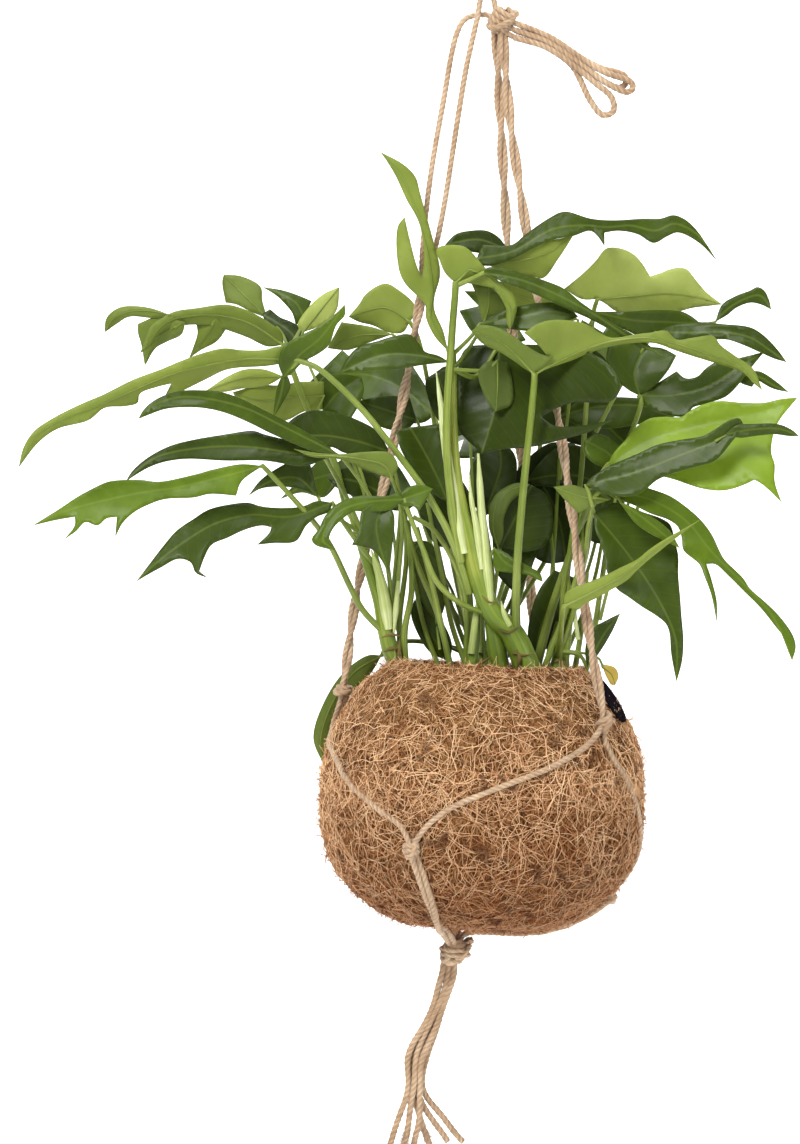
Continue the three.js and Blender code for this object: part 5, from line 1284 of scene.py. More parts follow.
CENTRE_LEAVES = [
    # tall twisted leaf at the top left
    leaf("under", 0.6, (-14, -12), (0.3, 0),
        rib="-22,186 -27,195 -32,206 -31,221 -34,244 -43,274 -50,288 -61,300",
        above="-30,195 -35,206 -35,212 -40,218 -46,224 -50,232 -51,257 -47,263 -44,250 -40,235 -37,228 "
        "-36,244 -39,260 -46,273 -52,286 -58,296",
        below="-23,190 -25,198 -30,210 -30,217 -27,228 -27,235 -30,247 -38,276 -41,286 -48,293",
        stem="-24,190,-14 -21,176,-15 -19,150,-18 -22,118,-30"),
    # dark back rim of the big upper leaf
    leaf("top", 0.1, (-28, -27), (0, 0.3),
        rib="12,244 -5,250 -24,247",
        above="7,251 0,255 -10,255 -18,253",
        below="2,242 -9,243",
        stem="4,246,-28 -8,236,-33 -16,226,-38"),
    # big upper leaf reaching to the right
    leaf("top", 0.25, (-34, -28), (0, 0.5),
        rib="-6,239 14,243 38,256 57,258 68,257 82,258 96,255 107,259 121,252 131,238",
        above="-3,247 14,247 22,253 35,262 44,266 59,262 71,261 90,262 99,262 106,264 112,262 119,256",
        below="-6,236 2,235 17,240 26,245 38,250 49,252 59,255 63,252 67,246 67,254 75,255 86,253 "
        "95,248 103,252 109,254 121,248",
        stem="0,241,-34 -8,232,-36 -17,225,-39"),
    leaf("under", 0.6, (-31, -30), (0, -0.5),
        rib="-2,236 19,238 36,243 49,252",
        above="14,242 30,248",
        below="11,232 22,230 32,228 40,238 46,247",
        stem="4,237,-31 -8,230,-35 -17,225,-39"),
    # leaf folded over its stalk
    leaf("under", 0.55, (-40, -46), (0, -0.6), 5,
        rib="-18,225 -10,233 1,228 11,216 14,209 13,198",
        above="-24,231 -27,238 -29,244 -27,246 -13,246 -2,235 4,229 10,223 15,219 17,211 15,203",
        below="-11,225 0,223 4,222 7,218 11,210 11,204",
        stem="-15,230,-40 -18,222,-40 -20,196,-39 -23,136,-38 -20,99,-36 -15,66,-32"),
    leaf("top", 0.3, (-46, -58), (0, 0.5),
        rib="-2,231 19,227 39,219 60,208 83,193 100,184",
        above="0,234 11,233 22,230 32,227 44,222 54,214 72,202 85,195",
        below="11,225 22,221 36,215 49,209 58,205 71,198 82,191",
        stem="6,230,-47 -8,228,-42 -17,224,-40"),
    leaf("under", 0.3, (-28, -32), (0, -0.4), 2.4,
        rib="-2,202 1,212 1,223",
        above="-4,209 -6,218 -9,225",
        below="2,206 10,208 11,211 7,218",
        stem="-1,206,-28 -9,190,-27 -22,172,-38"),
    leaf("top", 0.3, (-32, -46), (0, 0.4), 2.4,
        rib="-4,202 19,206 36,209 52,206",
        above="11,210 18,212 30,214 45,213",
        below="7,200 25,198 42,202",
        stem="4,203,-33 -8,196,-32 -22,182,-38"),
    # near leaf with the round hole, both wings
    leaf("under", 0.2, (-60, -54), (0, -0.8), 4.6,
        rib="27,173 10,190 -9,198",
        above="38,183 30,185 22,190 15,195 8,199 1,201 -4,201",
        below="22,176 15,181 7,186 -3,191",
        stem="25,178,-60 27,170,-61 26,158,-60 20,100,-52 17,60,-42 17,26,-30 19,12,-27"),
    leaf("under", 0.5, (-60, -62), (0, -0.8),
        rib="27,173 42,181 60,189 71,192 92,194 110,190 128,184 145,177 157,164",
        above="34,184 30,189 21,197 29,202 36,204 46,204 56,202 64,197 71,194 85,196 93,197 102,198 "
        "108,193 117,194 129,195 133,190 141,184 152,176",
        below="36,177 48,181 60,186 75,190 95,191 107,187 116,184 129,180 146,174 152,168",
        stem="34,176,-60 27,171,-61"),
    # large dark heart-shaped leaf behind the stalks
    leaf("top", 0.05, (-22, -26), (-0.55, 0),
        rib="7,190 6,160 -3,128",
        above="-12,188 -17,174 -17,160 -17,148 -15,140",
        below="30,190 55,187 70,178 76,166 71,158 60,157 49,157 36,152 31,149 38,144 54,144 71,147 "
        "60,141 43,136 27,132 5,130",
        stem="4,160,-24 -6,172,-26 -22,178,-38"),
    leaf("under", 0, (-36, -33), (0.3, 0), 2.4,
        rib="6,181 6,165 5,152",
        above="-1,180 -5,174 -2,162 2,155",
        below="12,180 15,165 14,156",
        stem="6,172,-35 0,176,-34 -22,176,-38"),
    leaf("top", 0.15, (-14, -12), (0.2, 0.2), 2.6,
        rib="-22,100 -30,118 -38,133 -44,143",
        above="-30,105 -40,116 -49,130 -52,141",
        below="-22,106 -22,119 -25,133 -27,145",
        stem="-25,108,-14 -21,92,-18 -15,72,-30"),
    # long leaf reaching to the lower left
    leaf("under", 0.55, (-20, -50), (0, -0.7), 4,
        rib="-108,181 -136,182 -161,178 -180,173 -206,162 -227,153 -245,146 -257,138 -267,120",
        above="-116,189 -128,187 -140,187 -150,188 -163,185 -174,181 -186,176 -202,170 -218,162 "
        "-232,156 -246,149 -258,141 -264,132",
        below="-125,178 -148,176 -161,170 -171,165 -185,158 -180,168 -188,166 -198,162 -199,157 "
        "-206,155 -218,154 -227,147 -245,142 -256,134",
        stem="-114,181,-21 -97,177,-24 -73,155,-29 -58,137,-33 -39,112,-36 -33,103,-36 -22,83,-35 "
        "-14,62,-31 -10,48,-29"),
    leaf("top", 0.5, (-20, -26), (0.2, -0.2),
        rib="-116,171 -107,184 -95,194 -81,213",
        above="-119,180 -116,189 -105,196 -95,201 -85,209",
        below="-111,174 -105,180 -96,185 -90,190 -86,201 -81,207",
        stem="-104,187,-21 -108,180,-21"),
    leaf("top", 0.4, (-20, -16), (0, -0.1), 1.6,
        rib="-115,175 -118,160 -122,148",
        above="-119,168 -121,158",
        below="-112,167 -117,156",
        stem="-116,168,-20 -112,179,-20"),
    leaf("under", 0.9, (-10, -4), (0.2, -0.2), 2,
        rib="-105,197 -96,208 -84,223",
        above="-108,201 -102,211 -93,219",
        below="-95,201 -86,209",
        stem="-100,203,-9 -106,192,-12 -108,182,-20"),
    leaf("top", 0.3, (-18, -14), (0, 0.3), 2,
        rib="-21,180 -40,184 -60,184 -84,174",
        above="-28,184 -35,186 -39,191 -44,196 -53,195 -63,192 -73,189 -80,182",
        below="-33,179 -53,176 -70,175",
        stem="-27,181,-18 -20,177,-22 -22,172,-38"),
    # low leaf with the hooked lobe in the middle
    leaf("top", 0.45, (-44, -52), (0, 0.3), 3.2,
        rib="-47,102 -70,100 -84,95 -92,85 -94,78 -87,73",
        above="-50,107 -56,104 -71,104 -77,103 -86,99 -92,93 -96,85 -100,79 -98,76 -92,74",
        below="-55,96 -71,95 -76,95 -82,91 -88,85 -90,79",
        stem="-52,101,-45 -46,98,-44 -37,75,-40 -28,54,-36 -14,42,-32 2,36,-28"),
    leaf("top", 0.3, (-44, -50), (0.2, 0.1), 2,
        rib="-58,102 -63,88 -62,78 -56,59",
        above="-71,96 -73,84 -77,76 -71,75 -65,73 -60,67",
        below="-53,93 -54,75 -55,66",
        stem="-60,95,-45 -55,102,-44"),
    leaf("top", 0.45, (-44, -42), (0, 0.3), 2,
        rib="-52,101 -42,104 -31,108",
        above="-45,109 -36,110",
        below="-48,98 -42,98 -39,95 -37,98 -34,103",
        stem="-45,103,-44 -48,99,-44"),
    # very dark leaf behind the middle stalks
    leaf("top", 0, (20, 26), (0.1, 0.2), 2.6,
        rib="45,66.2 42.7,83.3 38.2,98.1 31.3,110.6",
        above="33.6,65.6 24.5,71.9 22.2,86.7 23.4,100.4 26.8,108.3",
        below="54.1,74.1 58.7,85.5 56.4,99.2 48.4,108.3 39.3,112.9",
        stem="43.9,73,20 45,66.2,20 41.6,38.8,6 34.8,13.2,-6"),
    # dark leaves behind the stalks
    leaf("top", 0.02, (24, 30), (0.1, 0.2), 2.4,
        rib="-2,92 4,108 8,122 6,137",
        above="-8,100 -10,118 -4,132",
        below="8,98 16,112 16,127",
        stem="2,104,24 -2,96,24 -4,44,8 -4,14,-8"),
    leaf("top", 0.04, (30, 34), (0.1, 0.2), 2.2,
        rib="17,96 27,109 38,122 50,134",
        above="13,110 22,124 36,134",
        below="29,98 42,111 52,123",
        stem="20,100,30 17,92,29 15,50,10 12,12,-4"),
    # inner side of the curled leaf, painted dark for the shade inside the curl
    leaf("top", 0.03, (-6, -2), (0.4, 0.1), 2.4,
        rib="7.4,74.1 15.4,90.1 21.1,101.5 25.6,110.1",
        above="5.1,84.4 9.1,96.9 15.9,106.1",
        below="23.4,71.9 35.9,78.7 37.6,93 34.2,103.8",
        stem="10.8,81,-6 7.4,74.1,-7 4,44.5,-14 2.8,21.7,-18"),
    # its rim, painted lighter for the light it catches
    leaf("under", 0.1, (-10, -8), (-0.5, 0.2), 1.6,
        rib="6.3,74.1 3.4,86.7 5.7,99.2 13.7,107.2 24.5,110.6",
        above="1.7,83.3 1.1,94.7 4,103.2 9.7,108.3 16.5,111.2",
        below="9.1,81 9.7,91.2 13.7,100.4 21.1,106.6"),
    # small leaf with a hooked tip in front of the middle stalk
    leaf("top", 0.5, (-36, -44), (0, -0.5), 1.8,
        rib="4,74.1 10.8,65.6 19.4,61.6 27.3,58.8 31.9,54.8",
        above="9.1,72.4 15.9,67.9 24.5,63.3 30.2,59.9",
        below="3.4,67.3 4.5,61 14.2,59.9 22.8,58.8 29.1,55.9",
        stem="7.4,69.6,-36 4,74.1,-36 0.6,63.9,-30 -1.7,33.1,-24"),
    # dark leaf behind the right leg
    leaf("top", 0.08, (30, 24), (0, 0.3), 2.2,
        rib="66.7,109.5 51.9,115.2 35.9,115.2 23.4,112.9",
        above="67.8,123.2 58.7,130 45,133.4 33.6,126.6 26.2,117.5",
        below="59.8,104.9 47.3,106.1 35.9,108.9 27.3,110.1",
        stem="58.7,111.8,30 66.7,109.5,30 62.1,78.7,12 48.4,33.1,-2"),
    # broad dark leaf behind the near leaf
    leaf("top", 0.08, (34, 30), (0.2, 0.1), 2.4,
        rib="41.6,135.7 45,152.8 48.4,169.9 57.6,189.9",
        above="30.2,141.4 24.5,158.5 27.9,176.7 39.3,192.7 50.1,195.6",
        below="58.7,132.9 67.8,147.1 71.2,164.2 67.8,181.3",
        stem="42.7,141.4,34 41.6,135.7,34 39.3,90.1,18 34.8,33.1,2"),
    # pale underside behind the folded leaf
    leaf("under", 0.65, (0, -4), (0, -0.3), 2,
        rib="51.9,204.1 37,210.9 22.2,216.6 7.4,221.2",
        above="45,214.4 33,220.6 18.8,224.6 9.1,226.9",
        below="41.6,203 30.2,207.5 18.8,207.5 9.7,204.1 2.8,208.7",
        stem="45,207.5,0 51.9,204.1,0 48.4,169.9,8 41.6,112.9,10"),
    # dark leaf left of the tall stalk
    leaf("top", 0.1, (14, 18), (0.1, 0.2), 2.2,
        rib="-9.7,140.3 -17.7,150 -23.4,160.8 -29.1,174.5",
        above="-18.3,138 -27.9,147.1 -33.6,159.6 -34.8,169.9",
        below="-7.4,150 -10.8,161.9 -16.5,173.3 -23.4,177.9",
        stem="-13.1,144.8,14 -9.7,140.3,14 -7.4,90.1,6 -5.1,44.5,-8"),
    # dark leaf behind the sheathed stalks
    leaf("top", 0.08, (8, 12), (0.2, 0.2), 2.4,
        rib="-20,74.1 -26.8,90.1 -31.4,106.1 -33.6,119.7",
        above="-29.1,75.9 -37.1,90.1 -40.5,104.9 -39.3,115.2",
        below="-12,78.7 -7.4,92.4 -10.8,107.2 -21.1,118.6",
        stem="-23.4,81,8 -20,74.1,8 -14.3,44.5,-4 -9.7,21.7,-12"),
    # grey-green leaf low between the left stalks
    leaf("under", 0, (10, 6), (0.2, 0.2), 1.8,
        rib="-29.1,32 -30.8,47.9 -33.6,63.9 -41.6,75.3",
        above="-35.9,41.1 -41.6,55.9 -43.9,67.3",
        below="-25.1,37.7 -23.4,52.5 -26.8,68.4 -34.8,77",
        stem="-29.7,38.8,10 -29.1,32,10 -26.8,16,4"),
    # low dark leaf between the left stalks
    leaf("top", 0.2, (8, 10), (0.1, 0.2), 1.6,
        rib="-21.1,9.2 -29.1,20.6 -35.9,32 -41.6,44.5",
        above="-32.5,14.9 -39.3,25.1 -43.3,36.5",
        below="-20,19.4 -24.5,30.8 -31.4,41.1"),
    # dark leaf low on the right of the middle stalk
    leaf("top", 0.12, (2, 4), (0.2, 0.1), 2,
        rib="27.9,13.2 30.2,27.4 37,44.5 45,59.3",
        above="23.4,21.7 25.1,37.7 30.2,51.3 38.2,61.6",
        below="35.9,18.3 43.9,32 49.6,46.8 50.7,57",
        stem="29.1,19.4,2 27.9,13.2,2 26.8,8,0"),
]

RIGHT_LEAVES = [
    # narrow far leaf on the right
    leaf("top", 0.2, (-26, -40), (0, 0.5), 2.4,
        rib="96,197 117,197 136,197 150,194 161,187 171,180",
        above="106,201 117,202 124,203 133,202 150,200 157,196 165,188",
        below="104,193 117,193 129,193 137,193 146,190 155,186 164,182",
        stem="104,197,-27 92,192,-20 78,170,-12 62,140,-10"),
    # pale pointed leaf with a slit
    leaf("under", 0.85, (-12, -16), (0, -0.5), 3.2,
        rib="63,216 86,218 103,219 120,217 134,213",
        above="54,216 44,222 55,231 62,238 68,245 76,245 83,242 88,237 93,229 99,231 104,233 110,234 "
        "114,233 119,227 125,220",
        below="68,213 74,209 103,209 109,209 117,211 125,212",
        stem="68,217,-12 61,210,-10 59,190,-8 56,147,-8 53,110,-9 47,70,-12 42,22,-13"),
    leaf("top", 0.3, (-15, -12), (0, 0.3), 1.8,
        rib="130,203 138,211 149,217 156,218 162,210",
        above="134,213 142,218 150,221 154,223 158,221 161,215",
        below="137,207 142,211 150,214 156,213",
        stem="134,207,-15 124,202,-16 116,203,-17"),
    leaf("top", 0.35, (-16, -18), (0, -0.5), 2,
        rib="60,209 84,204 104,203 122,202",
        above="76,209 96,210 111,209 117,206",
        below="68,204 80,198 87,195 94,197 111,199",
        stem="66,208,-16 59,202,-10"),
    # broad dark leaf, its two parts
    leaf("top", 0.3, (-24, -16), (0, 0.4), 3.4,
        rib="87,161 84,174 90,189",
        above="81,164 75,169 70,176 68,182 69,189 80,191",
        below="96,167 103,175 108,184 100,188",
        stem="86,170,-22 88,158,-25 78,130,-22 66,108,-20 53,86,-18 45,60,-14 42,22,-13"),
    leaf("top", 0.3, (-24, -34), (0, 0.4), 2.4,
        rib="87,161 105,161 125,166 143,177 158,186",
        above="97,168 108,175 113,171 120,172 124,176 130,180 137,181 150,184",
        below="91,155 99,151 109,149 114,149 117,154 123,156 133,159 137,161 144,168 149,175",
        stem="94,161,-24 86,160,-25"),
    leaf("top", 0.3, (-30, -32), (0, 0.3), 1.6,
        rib="140,172 154,172 163,167 172,163",
        above="147,174 155,175 165,169",
        below="145,168 151,166 154,170 163,165",
        stem="146,171,-30 136,171,-29 128,168,-29"),
    # bright glossy leaf
    leaf("top", 0.9, (-42, -56), (0, 0.3),
        rib="69,122 93,136 121,144 150,150 177,160",
        above="72,128 79,136 86,144 93,148 102,149 111,149 115,152 123,156 132,158 146,157 158,157 "
        "167,159",
        below="85,118 104,114 123,108 135,107 146,110 156,115 150,115 139,113 130,113 122,119 131,122 "
        "140,117 150,114 156,111 162,106 168,100 164,112 164,122 162,129 165,144",
        stem="78,127,-44 66,118,-38 58,100,-28 48,74,-18"),
    # dark leaf in front of it
    leaf("top", 0.2, (-62, -76), (0, 0.4), 2.4,
        rib="56,110 84,117 110,127 132,136 146,145",
        above="59,114 70,121 86,128 97,133 111,136 123,138 130,142 138,147 144,148",
        below="67,105 84,104 92,109 97,113 107,117 121,121 130,124 139,134 144,141",
        stem="66,113,-63 58,106,-62 60,98,-60"),
    leaf("top", 0.2, (-75, -82), (0, -0.3), 1.6,
        rib="136,139 153,142 167,142 178,138",
        above="142,144 153,145 165,145 173,142",
        below="144,137 152,138 164,139 172,138",
        stem="142,141,-76 130,135,-75"),
    leaf("under", 0.3, (-60, -58), (0, 0.3), 2,
        rib="71,102 56,103 38,109",
        above="62,108 56,108 49,110",
        below="60,98 52,94 44,102",
        stem="64,102,-60 60,103,-61"),
    # long leaf hanging to the right
    leaf("top", 0.55, (-62, -70), (0.2, 0.4),
        rib="65,107 92,102 113,90 128,72 146,54 163,35 174,10",
        above="71,108 82,111 93,108 104,104 113,98 122,90 128,82 135,68 141,62 146,57 150,51 159,43 "
        "167,35 174,25 176,18",
        below="74,102 83,99 93,94 104,90 109,86 111,80 112,73 121,65 124,58 128,47 131,31 131,43 128,56 "
        "125,65 130,65 138,58 146,50 156,40 164,30 170,22",
        stem="75,106,-63 62,104,-60 58,88,-52 56,70,-40 50,40,-20 41,14,-12"),
    leaf("top", 0.5, (-68, -72), (0, 0.4), 1.8,
        rib="75,101 88,92 103,80 110,74",
        above="86,96 94,92 104,84",
        below="78,97 84,89 92,83 102,78",
        stem="80,98,-68 74,104,-64"),
    # wide dark leaf hanging below
    leaf("top", 0.25, (-54, -62), (0.2, 0.3), 2.4,
        rib="61,94 80,71 97,46 107.5,22 108,-2",
        above="71,100 88,95 104,88 107,78 109,70 109,59 110,47 111,34 112,20 111,9",
        below="62,84 65,77 69,59 74,51 81,46 88,41 96,36 102,31 104,26 105,14",
        stem="64,90,-55 60,97,-56 60,92,-50"),
    # grey-green leaf across the right leg
    leaf("under", 0.6, (-62, -84), (0, -0.4), 3.4,
        rib="44,41 60,49 80,60 97,74 121,90",
        above="44,47 48,51 56,54 66,58 76,63 86,68 92,73 101,79",
        below="52,39 55,42 63,46 70,50 80,56 86,62 94,69",
        stem="50,44,-62 43,38,-58 42,26,-38 40,12,-13"),
    leaf("top", 0.2, (-18, -20), (0.2, 0.2), 2.4,
        rib="57,6 66,24 76,37",
        above="56,17 60,28 68,33",
        below="63,13 71,26",
        stem="60,13,-18 53,13,-17 42,15,-13"),
    # small yellowed leaf at the edge of the ball
    leaf("yellow", 0.5, (-20, -22), (0, 0.2), 1.6,
        rib="66,6 71,2 73,-4",
        above="66,8 73,6 75,1",
        below="67,3 69,-1 71,-4",
        stem="69,4,-21 64,11,-20 56,14,-18 43,16,-13"),
    # leaf between the near leaf and the right leg
    leaf("top", 0.3, (16, 20), (0, 0.3), 2.2,
        rib="115.7,152.8 98.6,153.9 78.6,155.7 58.7,153.9 41.6,149.4",
        above="104.3,157.4 87.2,159.6 70.1,160.2 53,158.5",
        below="104.3,148.2 87.2,144.8 70.1,142.5 53,143.7",
        stem="107.7,152.8,16 115.7,152.8,16 92.9,112.9,6 67.8,50.2,-8"),
    # dark leaf under the heart-shaped leaf
    leaf("top", 0.12, (24, 28), (0.1, 0.3), 2,
        rib="87.2,127.2 76.9,135.7 67.8,143.7 58.7,147.1",
        above="88.3,138 78.1,147.1 67.8,151.7",
        below="78.1,123.2 66.7,126.6 58.7,135.7",
        stem="81.5,131.1,24 87.2,127.2,24 76.9,84.4,6 64.4,33.1,-8"),
    # mid green leaf behind the right stalks
    leaf("top", 0.2, (8, 12), (0.1, 0.2), 2.2,
        rib="67.8,75.9 64.4,90.1 67.8,103.8 74.7,115.2",
        above="58.7,78.7 55.3,92.4 58.7,106.1 66.7,115.2",
        below="75.8,81 78.1,94.7 78.1,107.2",
        stem="66.7,82.1,8 67.8,75.9,8 63.3,44.5,-2 58.7,16,-8"),
    # small olive leaf at the right leg
    leaf("top", 0.45, (-30, -28), (0, 0.3), 1.8,
        rib="75.8,118.6 70.1,127.2 62.1,132.3 55.3,135.7",
        above="76.9,128.9 71.2,135.7 63.3,139.1",
        below="67.8,119.7 59.8,123.2 55.3,128.9",
        stem="72.4,123.2,-30 75.8,118.6,-30 71.2,90.1,-26 64.4,44.5,-16"),
]

BACK_LEAVES = [
    leaf("under", 0.6, (18, 22), (0, -0.2),
        rib="-44,203 -58,211 -79,206",
        above="-40,209 -42,214 -50,221 -58,225 -69,219 -73,213",
        below="-48,197 -56,197 -65,201 -73,203",
        stem="-49,206,19 -40,196,18 -34,170,18 -28,130,20 -22,80,24 -12,30,27"),
    leaf("under", 0.4, (17, 14), (0, -0.3), 2,
        rib="-54,196 -75,195 -91,188",
        above="-65,200 -83,203",
        below="-68,191 -79,187",
        stem="-60,196,17 -46,190,18 -38,184,18"),
    leaf("top", 0.2, (16, 20), (0, 0.1), 2,
        rib="-40,147 -58,153 -74,158",
        above="-44,160 -58,161",
        below="-47,141 -64,145",
        stem="-46,149,16 -36,138,18 -29,132,20"),
    # dark leaf between the stalks
    leaf("top", 0.1, (4, 0), (0.1, 0),
        rib="16,48 15,70 18,92 22,110",
        above="5,61 3,80 1,98 5,103 13,108",
        below="24,60 31,80 34,96 29,107",
        stem="16,60,4 12,40,10 -1,9,28"),
    # small low leaves
    leaf("top", 0.3, (10, 8), (0, 0.1), 2,
        rib="-26,61 -33,70 -42,78",
        above="-34,63 -41,70",
        below="-27,70 -34,78",
        stem="-28,64,10 -20,50,18 -12,26,26"),
    leaf("top", 0.3, (12, 10), (0, 0.1), 2,
        rib="-27,22 -32,36 -40,50",
        above="-36,28 -41,40",
        below="-27,36 -34,48",
        stem="-28,26,12 -18,16,20 -3,12,28"),
    # leaf hanging behind the ball on the left
    leaf("under", 0.2, (24, 40), (0, 0),
        rib="-60,13 -76,3 -89,-16 -95,-36 -93,-50",
        above="-68,13 -82,3 -93,-14 -99,-34",
        below="-66,3 -79,-11 -88,-28 -91,-43",
        stem="-66,9,26 -58,17,24 -46,21,24 -26,19,26 -3,12,28"),
    # leaves towards the back
    split_leaf((-30, 150), (-110, 160), 18, 18, (50, 92), (0, 0.9),
        [(-22, 120, 44), (-12, 70, 36), (-8, 26, 28)]),
    split_leaf((30, 165), (96, 184), 14, 18, (55, 108), (0, 0.9),
        [(31, 140, 40), (20, 80, 30), (-2, 12, 28)]),
    split_leaf((0, 190), (16, 226), 6, 22, (45, 122), (0.7, 0),
        [(-4, 120, 38), (-5, 40, 30), (-2, 12, 28)]),
    split_leaf((50, 110), (120, 118), 16, 17, (50, 98), (0, 0.8),
        [(40, 80, 36), (14, 36, 28), (-1, 14, 28)]),
    split_leaf((-40, 100), (-118, 102), 16, 15, (44, 84), (0, 0.8),
        [(-30, 70, 36), (-18, 36, 30), (-8, 26, 28)]),
    split_leaf((0, 130), (-18, 148), 8, 20, (60, 132), (0.6, 0),
        [(-4, 70, 45), (-2, 12, 29)]),
    split_leaf((20, 88), (48, 76), 10, 18, (72, 126), (0.3, 0.4),
        [(8, 50, 55), (-1, 14, 28)]),
]

# Canes and sheaths: drawn line with depth, then the thickness from the foot to the end
CANES = {
    "left": [
        ("-45,0,-6 -50,7,-6 -55,16,-6 -58,28,-7", [11.5, 9.8, 9.2]),
        ("-58,26,-7 -62,46,-7 -68,64,-8 -75,86,-8 -82,108,-6", [8.4, 7, 5.4, 4, 2.5]),
    ],
    "centre": [
        ("25,0,-26 21,11,-27 14,26,-27 5,35,-28 -1,45,-28", [15.5, 14.6, 13, 11.6]),
        ("0,43,-28 -6,61,-28 -9,73,-29 -13,90,-30 -17,112,-31 -19,138,-30 -19,186,-28",
         [11.4, 12, 11, 7.6, 6.2, 5.4, 4.6, 3.8, 3]),
        ("8,1,-20 6,14,-21 3,30,-22 0,44,-22", [12, 11, 8.6, 4]),
        ("-10,2,-22 -7,18,-22 -5,38,-22", [6.5, 5.5, 2.4]),
    ],
    "right": [
        ("38,2,-12 40,10,-12 42,24,-13", [8, 6.5, 4.4]),
        ("40,8,-12 46,40,-12 45,66,-13", [5, 4.6, 2.6]),
    ],
    "back": [("0,2,28 -2,10,28 -12,34,27", [10, 9, 4])],
}
SHEATHS = {
    "left": [
        ("-56,28,-9.5 -58,42,-11 -61,57,-11.5 -66,73,-11", [5.4, 7, 6.4, 4.4, 1]),
        ("-53,26,-11 -52,38,-12 -51,50,-12 -49,66,-12", [1.4, 3.4, 2.6, 0.8]),
    ],
    "centre": [
        ("-13,71,-33.5 -17,88,-33.5 -20,109,-33 -24,136,-32 -26,153,-31 -29,175,-30",
         [4.4, 7, 6.2, 5.4, 4.8, 3, 0.8]),
        ("2,42,-32 0,64,-32 -2.5,88,-31.5 -4,109,-31 -5,128,-30", [4, 5.6, 5, 4, 1.6]),
        ("-3,62,-33 -6,86,-33.4 -9,102,-33 -10,116,-32.6", [2.6, 4.2, 3, 0.6]),
        ("13,30,-32.5 10,36,-33.5 8,44,-33", [3.6, 3, 0.8]),
        ("-9,14,-25 -7,30,-26 -5,48,-26", [4.2, 4, 1.2]),
    ],
    "right": [("52,22,-16 50,36,-17 49,52,-17", [2.6, 2.4, 1])],
    "back": [],
}
SCARS = {
    "left": [
        ("-59,15,-10.2 -54,17,-11.2 -49,16,-9", [0.8, 2.2, 0.8]),
        ("-60,23,-10.4 -55,25,-11.4 -50,24,-9.6", [0.6, 2, 0.8]),
        ("-52,7,-11.4 -50,14,-11.8 -50,22,-11", [1, 2.4, 0.8]),
    ],
    "centre": [
        ("-3,47,-33.4 2,43,-34.2 6,44,-33", [0.6, 1.2, 0.6]),
        ("6,28,-33.6 12,26,-34.4 18,29,-33", [0.6, 1.2, 0.6]),
        ("13,15,-34 20,13,-35 27,14,-34", [0.6, 1.3, 0.6]),
        ("17,6,-34 18.5,11,-35.4 17,16,-34.6", [1, 2.6, 0.8]),
        ("-11,6,-26.4 -3,9,-28.4 2,12,-27", [1.4, 1.8, 1]),
    ],
    "right": [("38,9,-16.4 41,10,-16.8 44,10,-16", [0.6, 1.2, 0.6])],
    "back": [],
}

# Further thin stalks between the canes, which only the finished model has
STEMS = {
    "left": [
        ("-48,3,-2 -50,30,-2 -46,68,-3 -47,99,-5", 3.4),
        ("-46,2,-8 -47,26,-9 -43,50,-9 -45,90,-8", 3.8),
        ("-44,2,2 -53,36,2 -62,66,1 -69,92,0", 2.6),
    ],
    "centre": [
        ("-20,2,-14 -30,48,-15 -40,86,-14", 3.4),
        ("-20,3,-6 -28,36,-6 -40,66,-8 -48,96,-10", 3.6),
        ("-12,4,-10 -13,50,-16 -30,84,-18 -42,92,-16", 3.4),
        ("-10,2,-2 -20,30,0 -26,60,2 -34,100,2", 3),
        ("-3,3,-4 -4,50,-4 -6,90,-3", 3.2),
        ("2,2,2 4,50,4 -2,96,6", 2.6),
        ("-26,2,4 -36,30,5 -42,60,5", 3),
    ],
    "right": [
        ("32,4,-18 44,36,-19 53,66,-18 54,92,-17", 3.6),
        ("28,6,-4 37,40,-5 50,78,-8 55,96,-10", 5.2),
        ("44,2,-12 48,38,-13 57,74,-15 59,95,-16", 4),
        ("50,4,-8 55,36,-9 57,60,-12", 3.2),
        ("56,2,-4 62,30,-5 66,60,-6", 2.8),
        ("40,2,4 60,52,4 68,92,2", 2.6),
        ("34,2,6 38,52,8 36,90,8", 2.6),
    ],
    "back": [
        ("-6,2,24 -20,40,22 -30,84,20", 2.8),
        ("6,2,24 18,44,22 30,90,22", 2.8),
    ],
}


def flat_curved(points, step):
    """A smooth drawn line, its points a step apart, with sharp turns kept as corners."""
    runs = [[points[0]]]
    for before, here, after in zip(points, points[1:], points[2:]):
        first = Vector((here[0] - before[0], here[1] - before[1]))
        second = Vector((after[0] - here[0], after[1] - here[1]))
        runs[-1].append(here)
        if first.length > 1e-6 and second.length > 1e-6 and first.angle(second) > math.radians(68):
            runs.append([here])
    runs[-1].append(points[-1])
    line = []
    for run in runs:
        smooth = curved([(x, z, 0) for x, z in run], 8)
        line += even(smooth, step)[:-1]
    return [(p.x, p.y) for p in line] + [tuple(points[-1][:2])]


def foot_on(rib, across, up):
    """Nearest point of the rib: distance, share of its length, offset, side and length so far."""
    best = None
    walked = 0.0
    total = sum(math.dist(a, b) for a, b in zip(rib, rib[1:]))
    for (x0, z0), (x1, z1) in zip(rib, rib[1:]):
        dx, dz = x1 - x0, z1 - z0
        length = math.hypot(dx, dz)
        t = min(1.0, max(0.0, ((across - x0) * dx + (up - z0) * dz) / (length * length)))
        off_x, off_z = across - x0 - t * dx, up - z0 - t * dz
        distance = math.hypot(off_x, off_z)
        if best is None or distance < best[0]:
            side = 1.0 if dx * off_z - dz * off_x >= 0 else -1.0
            best = (distance, (walked + t * length) / total, off_x, off_z, side, walked + t * length)
        walked += length
    return best


